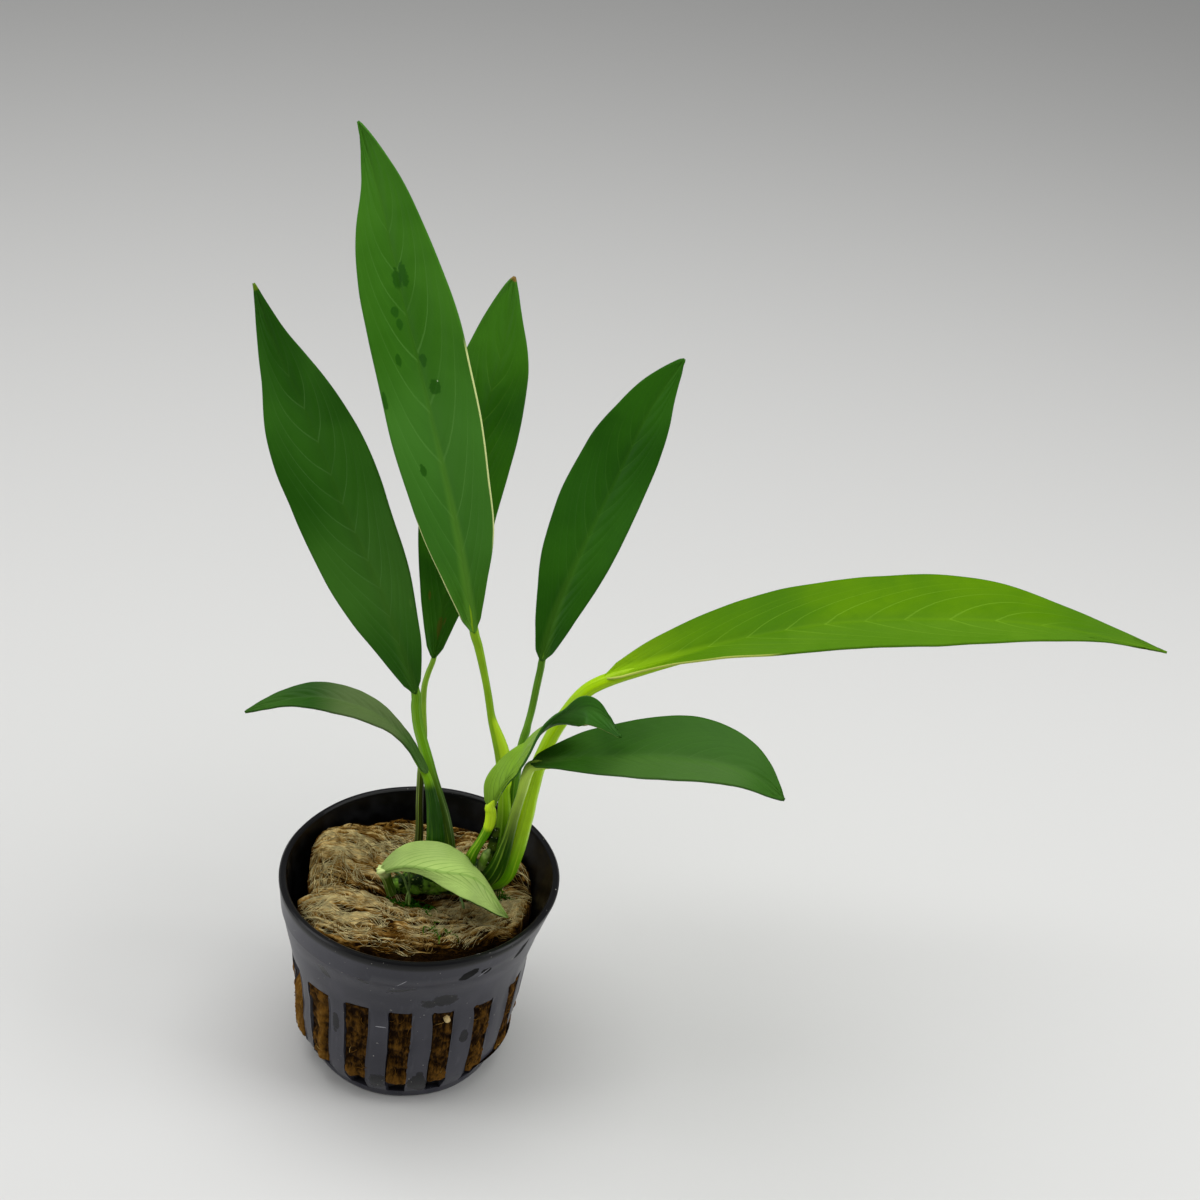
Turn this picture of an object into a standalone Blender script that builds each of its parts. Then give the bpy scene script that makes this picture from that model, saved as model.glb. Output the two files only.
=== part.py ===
"""Potted Anubias congensis: an aquarium plant in a small slotted net pot.

A black net pot holds a plug of brown mineral wool. A creeping rhizome lies on
the wool, and nine leaves rise from it, each a blade on its own petiole.

Units are metres, +Z is up, and -Y is the front. The origin is the centre of
the pot's foot, on the surface that it stands on.
"""

import math

import bmesh
import bpy
from mathutils import Matrix, Vector

MM = 0.001
GAP = 0.35 * MM
MERGE = 0.01 * MM
ROUTE_STEPS = 24

# Net pot
POT_HEIGHT = 42.0 * MM
RIM_RADIUS = 27.0 * MM
LIP_WIDTH = 1.5 * MM
BAND_RADIUS = 25.5 * MM
BAND_BOTTOM = 35.5 * MM
BAND_STEP = 0.25 * MM
SLOT_TOP_RADIUS = 22.9 * MM
SLOT_TOP = 25.0 * MM
SLOT_BOTTOM = 2.0 * MM
BELLY = [(4.0 * MM, 19.9 * MM), (12.0 * MM, 21.7 * MM)]
FOOT_RADIUS = 18.1 * MM
POT_WALL = 1.2 * MM
POT_FLOOR = 1.4 * MM
POT_EDGE = 0.5 * MM
POT_STEPS = 48
SLOT_COUNT = 16
SLOT_TURN = -91.0
SLOT_HALF_ANGLE_TOP = 6.0
SLOT_HALF_ANGLE_BOTTOM = 5.2
SLOT_CORNER = 0.5 * MM
SLOT_CUT_INNER = 15.5 * MM
SLOT_CUT_OUTER = 26.0 * MM
DRAIN_COUNT = 8
DRAIN_WIDTH = 2.4 * MM
DRAIN_INNER = 7.0 * MM
DRAIN_OUTER = 15.5 * MM

# Mineral wool plug
PLUG_TOP = 36.0 * MM
PLUG_TOP_SHARE = 0.6
PLUG_SHOULDER = 1.4 * MM
PLUG_SHOULDER_SHARE = 0.95
PLUG_HEEL_SHARE = 0.75
PLUG_BOTTOM = 1.8 * MM
PLUG_HEEL = 4.4 * MM
PLUG_BULGE = 0.3 * MM
PLUG_LUMP = 1.3 * MM
PLUG_LUMP_SHARE = 0.35
PLUG_LUMP_SLOTS = (13, 14)
PLUG_LUMP_WAVES = 2.4
PLUG_LUMP_RISE = 0.3
PLUG_RIDGE_WIDE = 0.8
PLUG_RIDGE_CREST = 0.5
PLUG_RIDGE_LEVELS = [5.5, 9.5, 13.5, 17.5, 21.0, 23.6]
PLUG_RIDGE_TOP = 24.5 * MM
PLUG_WAIST = 30.0 * MM

# Leaves
BLADE_THICKNESS = 0.7 * MM
BLADE_BASE_HALF = 0.9 * MM
BLADE_TIP_HALF = 0.3 * MM
BLADE_STEPS = (16, 6)
SMALL_BLADE_STEPS = (12, 4)
STALK_SIDES = 8
STALK_POINTS = 9
RHIZOME_SIDES = 10
RHIZOME_POINTS = 13
ROOT_POINTS = 5

# Edge of the plug's top: it climbs the pot's wall at the back left. In mm.
PLUG_EDGE = [
    (-22.4, -6.5, 35.4), (-22.0, 1.0, 35.8), (-21.8, 7.6, 38.0), (-20.8, 12.6, 39.4),
    (-18.3, 16.4, 39.4), (-14.4, 18.2, 38.8), (-8.0, 20.0, 37.8), (0.0, 20.6, 37.2),
    (7.2, 20.0, 37.0), (13.6, 17.2, 36.8), (20.0, 9.0, 36.0), (21.6, 3.0, 35.6),
    (20.8, -4.0, 35.4), (13.0, -11.5, 35.2), (4.0, -15.5, 35.0), (-7.0, -16.5, 35.0),
    (-16.5, -14.0, 35.0),
]

# Route of the rhizome and its radius there, in mm
RHIZOME = [
    ((-7.0, 0.8, 39.6), 2.3), ((-5.0, 0.8, 39.7), 3.0), ((-1.0, 1.0, 39.8), 3.1),
    ((3.0, 1.2, 39.9), 3.3), ((7.0, 1.4, 40.0), 3.0), ((11.0, 1.8, 40.6), 3.3),
    ((15.0, 2.2, 41.3), 3.7), ((18.5, 2.6, 41.9), 3.2), ((20.0, 2.8, 42.0), 1.6),
]

# Blades. spine: the midrib from base to tip, in mm. faces: where the upper face
# looks, from base to tip. right and left: the half widths in mm, seen on the
# upper face with the tip up. base and tip: how full the outline is at each end.
# fold: how far the halves rise from the midrib. spin: extra turn about it.
BLADES = {
    "tall": dict(
        spine=[(7, 13, 91), (2.5, 18, 107.5), (-5, 27, 129.5), (-12, 36, 147.5),
               (-17, 43, 162), (-22, 48, 174)],
        faces=[(0, -1, 0.2), (0, -1, 0.4)], right=9.6, left=8.8,
        base=0.85, tip=0.9, fold=[14], spin=[0]),
    "left": dict(
        spine=[(-3.5, 13, 74.5), (-11.5, 19, 93), (-19.5, 25, 106.5), (-28, 32, 122),
               (-35, 37, 133.5), (-39.5, 40, 144)],
        faces=[(0.1, -1, 0.2), (0.1, -1, 0.4)], right=8.6, left=9.6,
        base=0.93, tip=1.1, fold=[14], spin=[0]),
    "back": dict(
        spine=[(-1, 20, 78.5), (1, 28, 96), (4.5, 43, 120.5), (6.5, 49, 129.5),
               (7.5, 58, 142.5)],
        faces=[(0, -1, 0.2), (0, -1, 0.4)], right=7.6, left=9.1,
        base=0.87, tip=0.77, fold=[13], spin=[0]),
    "right": dict(
        spine=[(20.5, 12, 86), (22, 15, 95.5), (26, 20, 107), (31, 27, 118.5),
               (35.5, 32, 129.5), (41, 36, 139)],
        faces=[(-0.1, -1, 0.2), (-0.1, -1, 0.5)], right=6.7, left=8.2,
        base=0.91, tip=0.8, fold=[13], spin=[0]),
    "long": dict(
        spine=[(32, 5, 88), (44, 8, 92), (59.5, 11, 96.5), (76, 13, 100),
               (99, 14, 102.5), (114.5, 13, 103), (134, 10, 102)],
        faces=[(0, -0.3, 1), (0, -0.1, 1)], right=7.7, left=10.6,
        base=1.02, tip=1.03, fold=[6], spin=[0]),
    "low": dict(
        spine=[(22.5, -6, 75.5), (32.5, -9, 80), (45, -13, 84.5), (57.5, -17, 86),
               (65.5, -20, 82.5)],
        faces=[(0.1, -0.4, 1)], right=6.3, left=8.5,
        base=0.98, tip=0.86, fold=[9], spin=[0]),
    "young": dict(
        spine=[(13, -2.5, 61.5), (15.2, -3.5, 67.2), (17.7, -4.5, 73), (20.4, -5.5, 79.3),
               (23, -6.5, 84.2), (26, -7.5, 87.8), (29.5, -8.7, 90), (33, -9.6, 88.8),
               (36, -10, 85.5)],
        faces=[(0.75, 0.6, -0.2), (0.6, 0.1, -0.4), (0.3, -0.6, 0.5), (0.2, -0.8, 0.6)],
        right=4.6, left=2.4, base=0.51, tip=0.66, fold=[2],
        spin=[60, -5, 29, -10]),
    "arching": dict(
        spine=[(0, 4, 65), (-4.5, 4, 71), (-10, 3.5, 76), (-18.5, 2.5, 79),
               (-25.5, 1, 79), (-33.5, -1, 76.5)],
        faces=[(0, -0.4, 1), (0, -0.3, 1)], right=3.0, left=3.4,
        base=1.1, tip=0.85, fold=[12], spin=[0]),
    "front": dict(
        spine=[(-7, -2.5, 43.4), (-1.8, -5, 47.2), (5, -7.5, 48.6), (11.6, -8, 47.8),
               (18, -6.5, 38.3)],
        faces=[(0, 0.5, -1)], right=6.9, left=6.8,
        base=0.89, tip=0.89, fold=[38, 55, 60], spin=[75, 44, 7, 6]),
}
SMALL_BLADES = {"young", "arching", "front"}

# Petioles from the rhizome up to the blade, in mm, with the radius at each end
PETIOLES = {
    "tall": ([(13.4, 3.4, 46.2), (14.7, 4.6, 52.0), (14.3, 6.0, 59.5), (12.8, 8.0, 67.5),
              (10.4, 10.5, 77.0), (7.0, 13, 91)], 1.5, 1.0),
    "left": ([(4.8, 1.8, 44.2), (4.2, 3.0, 47.5), (2.0, 6.0, 57.5), (-0.5, 8.3, 64.8),
              (-3.1, 11, 71), (-3.5, 13, 74.5)], 1.2, 1.0),
    "back": ([(-1.0, 1.6, 43.8), (-1.2, 3.4, 48.0), (-1.1, 6.6, 55.5), (-1.0, 11, 63),
              (-2.2, 16, 73.5), (-1, 20, 78.5)], 1.2, 0.9),
    "right": ([(17.0, 5.0, 45.6), (17.0, 6.3, 49.6), (17.4, 7.0, 59.5), (18, 8.5, 70.5),
               (19.1, 10.5, 80), (20.5, 12, 86)], 1.1, 0.8),
    "long": ([(18.7, 1.6, 46.6), (19.6, 1.7, 54.0), (20.9, 2.0, 62.8), (23.3, 2.5, 73.2),
              (26.6, 3.5, 82), (32, 5, 88)], 1.6, 1.3),
    "low": ([(15.8, -0.3, 46.2), (17.0, -1.6, 55.5), (18.8, -3.0, 66.0), (20.3, -4.2, 71.8),
             (22.5, -6, 75.5)], 1.2, 1.0),
    "young": ([(9.4, 0.6, 44.0), (11.0, -0.2, 50.0), (12.8, -1.6, 57.4), (13, -2.5, 61.5)],
              1.2, 0.9),
    "arching": ([(2.0, -0.2, 44.2), (2.2, 0.3, 48.4), (2.0, 1.6, 57.0), (1.1, 2.9, 62.0),
                 (0, 4, 65)], 1.4, 1.0),
    "front": ([(-8.4, -2.0, 37.0), (-8.7, -2.0, 39.0), (-8.5, -2.2, 41.6),
               (-7, -2.5, 43.4)], 1.0, 0.9),
}

# Roots that leave the rhizome's underside and enter the wool, in mm
ROOTS = [
    [(-3.5, -2.6, 38.6), (-3.6, -3.8, 38.0), (-3.2, -4.5, 36.6)],
    [(-0.5, -2.8, 38.4), (-0.2, -4.2, 38.2), (-0.6, -5.0, 36.6)],
    [(8.5, -2.6, 38.6), (9.2, -3.8, 38.0), (9.6, -4.6, 36.6)],
]
ROOT_RADIUS = 0.45

# A small resting bud between the stalks, in mm
BUD = ([(12.2, 0.2, 44.6), (12.4, 0.0, 46.0), (12.8, -0.1, 47.8)], 1.0, 0.5)


def clear_scene():
    for item in list(bpy.data.objects):
        bpy.data.objects.remove(item, do_unlink=True)


def make_material(name, colour, roughness, metallic=0.0):
    material = bpy.data.materials.new(name)
    material.use_nodes = True
    shader = material.node_tree.nodes["Principled BSDF"]
    shader.inputs["Base Color"].default_value = (*colour, 1.0)
    shader.inputs["Roughness"].default_value = roughness
    shader.inputs["Metallic"].default_value = metallic
    return material


def add_object(name, data, material):
    item = bpy.data.objects.new(name, data)
    item.data.materials.append(material)
    bpy.context.scene.collection.objects.link(item)
    return item


def mesh_from(bm, name, sharp_degrees=40.0):
    mesh = bpy.data.meshes.new(name)
    bmesh.ops.recalc_face_normals(bm, faces=bm.faces)
    bm.to_mesh(mesh)
    bm.free()
    mesh.shade_smooth()
    mesh.set_sharp_from_angle(angle=math.radians(sharp_degrees))
    return mesh


def smooth_route(points, count):
    """Return count points, evenly spaced on a smooth curve through points."""
    points = [Vector(point) for point in points]
    padded = [points[0] * 2 - points[1], *points, points[-1] * 2 - points[-2]]
    fine = []
    for start in range(len(points) - 1):
        before, a, b, after = padded[start:start + 4]
        for step in range(ROUTE_STEPS):
            u = step / ROUTE_STEPS
            fine.append(0.5 * (2 * a + (b - before) * u
                               + (2 * before - 5 * a + 4 * b - after) * u ** 2
                               + (3 * a - before - 3 * b + after) * u ** 3))
    fine.append(points[-1])
    reach = [0.0]
    for a, b in zip(fine, fine[1:]):
        reach.append(reach[-1] + (b - a).length)
    route = []
    index = 0
    for step in range(count):
        target = reach[-1] * step / (count - 1)
        while index < len(fine) - 2 and reach[index + 1] < target:
            index += 1
        span = reach[index + 1] - reach[index]
        route.append(fine[index].lerp(fine[index + 1], (target - reach[index]) / span))
    return route


def along(values, t):
    """Read a value or vector from a short list spread evenly over t = 0 to 1."""
    if len(values) == 1:
        return values[0]
    place = t * (len(values) - 1)
    index = min(int(place), len(values) - 2)
    return values[index] + (values[index + 1] - values[index]) * (place - index)


def wall_radius(z):
    """Outer radius of the pot at height z, where its lower wall curves in to the foot."""
    line = [(0.0, FOOT_RADIUS), *BELLY, (SLOT_TOP, SLOT_TOP_RADIUS), (BAND_BOTTOM, BAND_RADIUS)]
    index = 0
    while index < len(line) - 2 and line[index + 1][0] < z:
        index += 1
    (low, start), (high, end) = line[index:index + 2]
    return start + (end - start) * (z - low) / (high - low)


def pot_profile():
    """Closed outline of the pot's wall and floor, as (radius, height)."""
    band = BAND_RADIUS + BAND_STEP
    inner = RIM_RADIUS - LIP_WIDTH
    soft = POT_EDGE
    return [
        (0.0, 0.0), (FOOT_RADIUS - soft, 0.0), (wall_radius(soft), soft),
        *[(radius, height) for height, radius in BELLY],
        (SLOT_TOP_RADIUS, SLOT_TOP), (BAND_RADIUS, BAND_BOTTOM),
        (band, BAND_BOTTOM + BAND_STEP), (RIM_RADIUS - BAND_STEP, POT_HEIGHT - 1.2 * MM),
        (RIM_RADIUS, POT_HEIGHT - soft), (RIM_RADIUS - soft, POT_HEIGHT),
        (inner + soft, POT_HEIGHT), (inner, POT_HEIGHT - soft),
        (BAND_RADIUS - POT_WALL, BAND_BOTTOM), (SLOT_TOP_RADIUS - POT_WALL, SLOT_TOP),
        *[(radius - POT_WALL, height) for height, radius in reversed(BELLY)],
        (wall_radius(POT_FLOOR) - POT_WALL, POT_FLOOR), (0.0, POT_FLOOR),
    ]


def wall_slot_cutter(bm):
    """One tapered cutter on +X, its two upper corners rounded."""
    top_half = SLOT_TOP_RADIUS * math.tan(math.radians(SLOT_HALF_ANGLE_TOP))
    low_half = FOOT_RADIUS * math.tan(math.radians(SLOT_HALF_ANGLE_BOTTOM))
    corners = []
    for vert in bmesh.ops.create_cube(bm, size=1.0)["verts"]:
        high = vert.co.z > 0
        half = top_half if high else low_half
        vert.co = Vector((SLOT_CUT_OUTER if vert.co.x > 0 else SLOT_CUT_INNER,
                          math.copysign(half, vert.co.y),
                          SLOT_TOP if high else SLOT_BOTTOM))
    for edge in bm.edges:
        along_x = abs(edge.verts[0].co.x - edge.verts[1].co.x) > MM
        if along_x and edge.verts[0].co.z > SLOT_BOTTOM + MM:
            corners.append(edge)
    bmesh.ops.bevel(bm, geom=corners, offset=SLOT_CORNER, segments=2,
                    affect="EDGES", profile=0.5, material=-1)


def slot_cutters():
    """Tapered cutters for the wall's slots and bars for the floor's drains."""
    bm = bmesh.new()
    wall_slot_cutter(bm)
    bmesh.ops.rotate(bm, verts=bm.verts,
                     matrix=Matrix.Rotation(math.radians(SLOT_TURN), 3, "Z"))
    bmesh.ops.spin(bm, geom=list(bm.verts) + list(bm.edges) + list(bm.faces),
                   cent=(0, 0, 0), axis=(0, 0, 1), angle=math.tau, steps=SLOT_COUNT,
                   use_duplicate=True)
    bmesh.ops.remove_doubles(bm, verts=bm.verts, dist=MERGE)
    for index in range(DRAIN_COUNT):
        turn = math.radians(SLOT_TURN + (index + 0.5) * 360 / DRAIN_COUNT)
        size = Vector((DRAIN_OUTER - DRAIN_INNER, DRAIN_WIDTH, 4 * POT_FLOOR))
        place = (Matrix.Rotation(turn, 4, "Z")
                 @ Matrix.Translation(((DRAIN_OUTER + DRAIN_INNER) / 2, 0.0, 0.0))
                 @ Matrix.Diagonal((*size, 1.0)))
        bmesh.ops.create_cube(bm, size=1.0, matrix=place)
    return mesh_from(bm, "slot_cutters")


def make_pot():
    material = make_material("pot_plastic", (0.03, 0.03, 0.035), 0.42)
    bm = bmesh.new()
    corners = [bm.verts.new((radius, 0.0, height)) for radius, height in pot_profile()]
    edges = [bm.edges.new(pair) for pair in zip(corners, corners[1:])]
    bmesh.ops.spin(bm, geom=corners + edges, cent=(0, 0, 0), axis=(0, 0, 1),
                   angle=math.tau, steps=POT_STEPS, use_merge=True)
    bmesh.ops.remove_doubles(bm, verts=bm.verts, dist=MERGE)
    pot = add_object("net_pot", mesh_from(bm, "net_pot"), material)
    cutter = add_object("slot_cutter", slot_cutters(), material)
    cutter.hide_render = True
    cutter.display_type = "WIRE"
    cut = pot.modifiers.new("slots", "BOOLEAN")
    cut.operation = "DIFFERENCE"
    cut.object = cutter


def plug_bulge(slot, z):
    """How far the wool stands out of a slot at height z."""
    swell = math.sin(PLUG_LUMP_WAVES * slot + PLUG_LUMP_RISE * z / MM) ** 2
    share = 1.0 if slot in PLUG_LUMP_SLOTS else PLUG_LUMP_SHARE
    return PLUG_BULGE + PLUG_LUMP * swell * share


def plug_ring(z, bulging):
    """One ring of the plug where it fills the pot, with a ridge in each slot."""
    share = (z - SLOT_BOTTOM) / (SLOT_TOP - SLOT_BOTTOM)
    half = SLOT_HALF_ANGLE_BOTTOM + (SLOT_HALF_ANGLE_TOP - SLOT_HALF_ANGLE_BOTTOM) * share
    inside = wall_radius(z) - POT_WALL - GAP
    ring = []
    for slot in range(SLOT_COUNT):
        centre = SLOT_TURN + slot * 360 / SLOT_COUNT
        crest = wall_radius(z) - GAP + plug_bulge(slot, z) if bulging else inside
        for angle, radius in ((-PLUG_RIDGE_WIDE * half, inside),
                              (-PLUG_RIDGE_CREST * half, crest),
                              (PLUG_RIDGE_CREST * half, crest),
                              (PLUG_RIDGE_WIDE * half, inside)):
            turn = math.radians(centre + angle)
            ring.append(Vector((radius * math.cos(turn), radius * math.sin(turn), z)))
    return ring


def within_wall(point, z):
    """The point moved to height z, and inwards if the pot's wall is in the way."""
    reach = min(point.xy.length, wall_radius(z) - POT_WALL - GAP)
    flat = point.xy.normalized() * reach
    return Vector((flat.x, flat.y, z))


def plug_edge_ring():
    """The edge of the plug's top, read at the same angles as the rings below it."""
    loop = [Vector(point) * MM for point in PLUG_EDGE]
    fine = smooth_route(loop + [loop[0]], 6 * 4 * SLOT_COUNT)
    ring = []
    for base in plug_ring(SLOT_TOP, False):
        ring.append(min(fine, key=lambda point: point.xy.angle(base.xy)))
    return ring


def make_plug():
    material = make_material("mineral_wool", (0.19, 0.12, 0.05), 0.95)
    heel = plug_ring(PLUG_HEEL, False)
    sole = [Vector((point.x * PLUG_HEEL_SHARE, point.y * PLUG_HEEL_SHARE, PLUG_BOTTOM))
            for point in heel]
    ridges = [plug_ring(z * MM, True) for z in PLUG_RIDGE_LEVELS]
    ridge_top = plug_ring(PLUG_RIDGE_TOP, False)
    edge = plug_edge_ring()
    waist = [within_wall(low.lerp(high, 0.5), PLUG_WAIST)
             for low, high in zip(ridge_top, edge)]
    shoulder = [within_wall(point, point.z - PLUG_SHOULDER) for point in edge]
    middle = Vector((0.0, 0.0, PLUG_TOP))
    brow = [Vector((point.x * PLUG_SHOULDER_SHARE, point.y * PLUG_SHOULDER_SHARE, point.z))
            for point in edge]
    hollow = [point.lerp(middle, PLUG_TOP_SHARE) for point in brow]
    bm = bmesh.new()
    loops = []
    for ring in (sole, heel, *ridges, ridge_top, waist, shoulder, brow, hollow):
        verts = [bm.verts.new(point) for point in ring]
        loops.append([bm.edges.new(pair) for pair in zip(verts, verts[1:] + verts[:1])])
    for lower, upper in zip(loops, loops[1:]):
        bmesh.ops.bridge_loops(bm, edges=lower + upper)
    bmesh.ops.holes_fill(bm, edges=loops[0] + loops[-1], sides=0)
    add_object("wool_plug", mesh_from(bm, "wool_plug", 60.0), material)


def make_stalk(name, route, radii, sides, material):
    """A round stalk: a curve with a bevel, one radius for each of its points."""
    curve = bpy.data.curves.new(name, "CURVE")
    curve.dimensions = "3D"
    curve.bevel_depth = 1.0
    curve.bevel_resolution = (sides - 4) // 2
    curve.use_fill_caps = True
    spline = curve.splines.new("POLY")
    spline.points.add(len(route) - 1)
    for point, place, radius in zip(spline.points, route, radii):
        point.co = (*place, 1.0)
        point.radius = radius
    spline.use_smooth = True
    return add_object(name, curve, material)


def make_rhizome():
    material = make_material("rhizome_green", (0.03, 0.10, 0.01), 0.5)
    count = RHIZOME_POINTS
    route = smooth_route([Vector(place) * MM for place, _ in RHIZOME], count)
    sizes = [radius * MM for _, radius in RHIZOME]
    radii = [along(sizes, index / (count - 1)) for index in range(count)]
    make_stalk("rhizome", route, radii, RHIZOME_SIDES, material)


def make_taper(name, points, start, end, count, material):
    """A stalk that stops short of what it meets at its upper end."""
    route = smooth_route([Vector(point) * MM for point in points], count)
    last = route[-1] - route[-2]
    route[-1] -= last.normalized() * GAP
    radii = [along([start * MM, end * MM], index / (count - 1)) for index in range(count)]
    make_stalk(name, route, radii, STALK_SIDES, material)


def outline_width(leaf, t):
    """Half width of a blade at t, as a share of its widest."""
    t = min(max(t, 0.004), 0.996)
    peak = leaf["base"] / (leaf["base"] + leaf["tip"])
    return (t / peak) ** leaf["base"] * ((1 - t) / (1 - peak)) ** leaf["tip"]


def blade_rows(leaf, length_steps):
    """Midrib point, side and up vectors and half widths at each step."""
    spine = smooth_route([Vector(point) * MM for point in leaf["spine"]], length_steps + 1)
    rows = []
    for index, centre in enumerate(spine):
        t = index / length_steps
        ahead = spine[min(index + 1, length_steps)] - spine[max(index - 1, 0)]
        ahead.normalize()
        up = along([Vector(face) for face in leaf["faces"]], t)
        up = (up - ahead * up.dot(ahead)).normalized()
        up.rotate(Matrix.Rotation(math.radians(along(leaf["spin"], t)), 3, ahead))
        side = ahead.cross(up)
        least = along([BLADE_BASE_HALF, BLADE_TIP_HALF], t)
        share = outline_width(leaf, t)
        right = max(leaf["right"] * MM * share, least)
        left = max(leaf["left"] * MM * share, least)
        fold = math.radians(along(leaf["fold"], t))
        rows.append((centre, side, up, right, left, fold))
    return rows


def make_blade(name, leaf, length_steps, width_steps, material):
    rows = blade_rows(leaf, length_steps)
    bm = bmesh.new()
    bmesh.ops.create_grid(bm, x_segments=length_steps, y_segments=width_steps, size=1.0)
    for vert in bm.verts:
        row = round((vert.co.x + 1) / 2 * length_steps)
        across = vert.co.y
        centre, side, up, right, left, fold = rows[row]
        reach = (right if across > 0 else left) * abs(across)
        vert.co = (centre + side * math.copysign(reach * math.cos(fold), across)
                   + up * reach * math.sin(fold))
    blade = add_object(name, mesh_from(bm, name, 80.0), material)
    wall = blade.modifiers.new("thickness", "SOLIDIFY")
    wall.thickness = BLADE_THICKNESS
    wall.offset = 0.0


def make_leaves():
    dark = make_material("leaf_green", (0.03, 0.13, 0.01), 0.35)
    bright = make_material("leaf_light_green", (0.10, 0.27, 0.01), 0.35)
    pale = make_material("leaf_underside", (0.33, 0.47, 0.12), 0.5)
    stalk = make_material("petiole_green", (0.12, 0.28, 0.01), 0.4)
    finishes = {"long": bright, "front": pale}
    for key, leaf in BLADES.items():
        steps = SMALL_BLADE_STEPS if key in SMALL_BLADES else BLADE_STEPS
        make_blade("blade_" + key, leaf, *steps, finishes.get(key, dark))
    for key, (points, start, end) in PETIOLES.items():
        make_taper("petiole_" + key, points, start, end, STALK_POINTS, stalk)


def make_small_growth():
    root = make_material("root_green", (0.10, 0.16, 0.04), 0.6)
    bud = make_material("bud_green", (0.16, 0.32, 0.05), 0.45)
    for index, points in enumerate(ROOTS, start=1):
        make_taper(f"root_{index}", points, ROOT_RADIUS, ROOT_RADIUS, ROOT_POINTS, root)
    points, start, end = BUD
    make_taper("bud", points, start, end, ROOT_POINTS, bud)


clear_scene()
make_pot()
make_plug()
make_rhizome()
make_leaves()
make_small_growth()
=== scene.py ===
import math
import random

import bmesh
import bpy
from mathutils import Matrix, Vector, noise


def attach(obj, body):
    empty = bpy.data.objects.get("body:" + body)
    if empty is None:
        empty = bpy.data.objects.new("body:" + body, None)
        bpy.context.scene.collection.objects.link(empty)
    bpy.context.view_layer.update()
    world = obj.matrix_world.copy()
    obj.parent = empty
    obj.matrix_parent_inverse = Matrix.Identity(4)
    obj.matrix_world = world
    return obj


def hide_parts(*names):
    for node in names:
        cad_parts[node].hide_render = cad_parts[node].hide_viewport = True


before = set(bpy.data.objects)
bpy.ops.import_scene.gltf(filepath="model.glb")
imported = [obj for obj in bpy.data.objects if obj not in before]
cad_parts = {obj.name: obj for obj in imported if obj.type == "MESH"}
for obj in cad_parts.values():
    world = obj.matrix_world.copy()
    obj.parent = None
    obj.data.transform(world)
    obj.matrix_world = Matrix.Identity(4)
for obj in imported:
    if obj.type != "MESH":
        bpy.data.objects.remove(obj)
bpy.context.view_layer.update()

# Net pot
# A thin injection-moulded shell of black polypropylene, with sixteen tapered slots in
# its wall, eight drains in its floor and a shallow raised band under the rim. Such a
# soft pot is a little out of true: its foot sits left of the rim's centre.

# Lengths are in mm and angles in degrees, unless told otherwise. The wall is spun in
# even columns: each slot, with half a rib on either side, takes SLOT_COLUMNS of them.
MM = 0.001
POT_HEIGHT = 42.0
POT_WALL = 1.2
SLOT_COUNT = 16
SLOT_PITCH = 360 / SLOT_COUNT
SLOT_TURN = -88.6
SLOT_COLUMNS = 12
SLOT_EDGE_COLUMN = 3
SLOT_BOTTOM, SLOT_TOP = 2.0, 26.0
SLOT_HALF_BOTTOM, SLOT_HALF_TOP = 5.7, 6.5
SLOT_CORNER = 0.9
SLOT_SOFTNESS = 0.22
SLOT_LIFT_REACH = 6.0
# How far the moulding has drawn each slot's foot and top round, in degrees, how high each
# top stands, in mm, and how wide each slot is beside the others, from the back round by
# the front
SLOT_DRIFT_FOOT = [0, 0, 0, 0, 0, 0.2, 0.6, 1.0, 1.2, 0.8, 0.4, 0.2, 0, 0, 0, 0, 0]
SLOT_DRIFT_TOP = [0, 0, 0, 0, 0.5, 1.2, 2.2, 2.8, 1.6, -0.9, -1.9, -0.6, 0, 0, 0, 0, 0]
SLOT_LIFT = [0, 0, 0, 0, 0, -0.7, -0.5, 0.65, 0.85, 0.55, -0.4, -0.9, 0, 0, 0, 0, 0]
SLOT_WIDTHS = [1, 1, 1, 1, 1, 1.1, 1.14, 1.02, 0.96, 0.9, 0.9, 0.87, 1, 1, 1, 1, 1]
DRAIN_HALF = 1.2
DRAIN_ROWS = [7.0, 11.0, 15.5]
FLOOR_TOP = 1.4
FLOOR_HUB = 3.5
FLOOR_EDGE = [(17.3, FLOOR_TOP + 0.15), (16.7, FLOOR_TOP)]
# How far the wall stands to the left of true at each height, in mm
WALL_LEAN = [(0.0, -1.4), (6.0, -1.6), (12.0, -1.4), (20.0, -1.1), (28.0, -1.1), (35.5, -0.74),
             (38.0, -0.41), (41.4, 0.0), (42.0, 0.0)]
LEAN_FORWARD, LEAN_CURVE = 0.2, 1.3
WALL_WAVE, WAVE_HEIGHT = 0.12, 30
# How far the rim is drawn out towards a direction in radians, and how that fades below
RIM_PULL, RIM_PULL_TURN, RIM_PULL_CURVE = 1.0, 1.15, 5

# Radius and height of the outer wall, and of the inner wall from the rim down, in mm
OUTER_WALL = [
    (17.5, 0.0), (18.1, 0.35), (18.4, 1.0), (18.65, 2.0), (18.95, 2.5), (19.85, 4.0),
    (20.9, 6.2), (21.5, 9.0), (21.95, 12.0), (22.35, 16.0), (22.7, 20.0), (23.05, 23.0),
    (23.37, 25.4), (23.45, 26.0), (23.95, 28.5), (24.75, 31.5), (25.6, 35.5), (25.85, 35.75),
    (26.28, 38.0), (26.78, 40.6), (26.95, 41.2), (26.9, 41.7), (26.6, 42.0),
]
INNER_RIM = [(25.95, 42.0), (25.6, 41.75), (25.5, 41.3), (24.9, 38.0), (24.3, 35.5)]
INNER_WALL_TOP = 31.5


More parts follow.
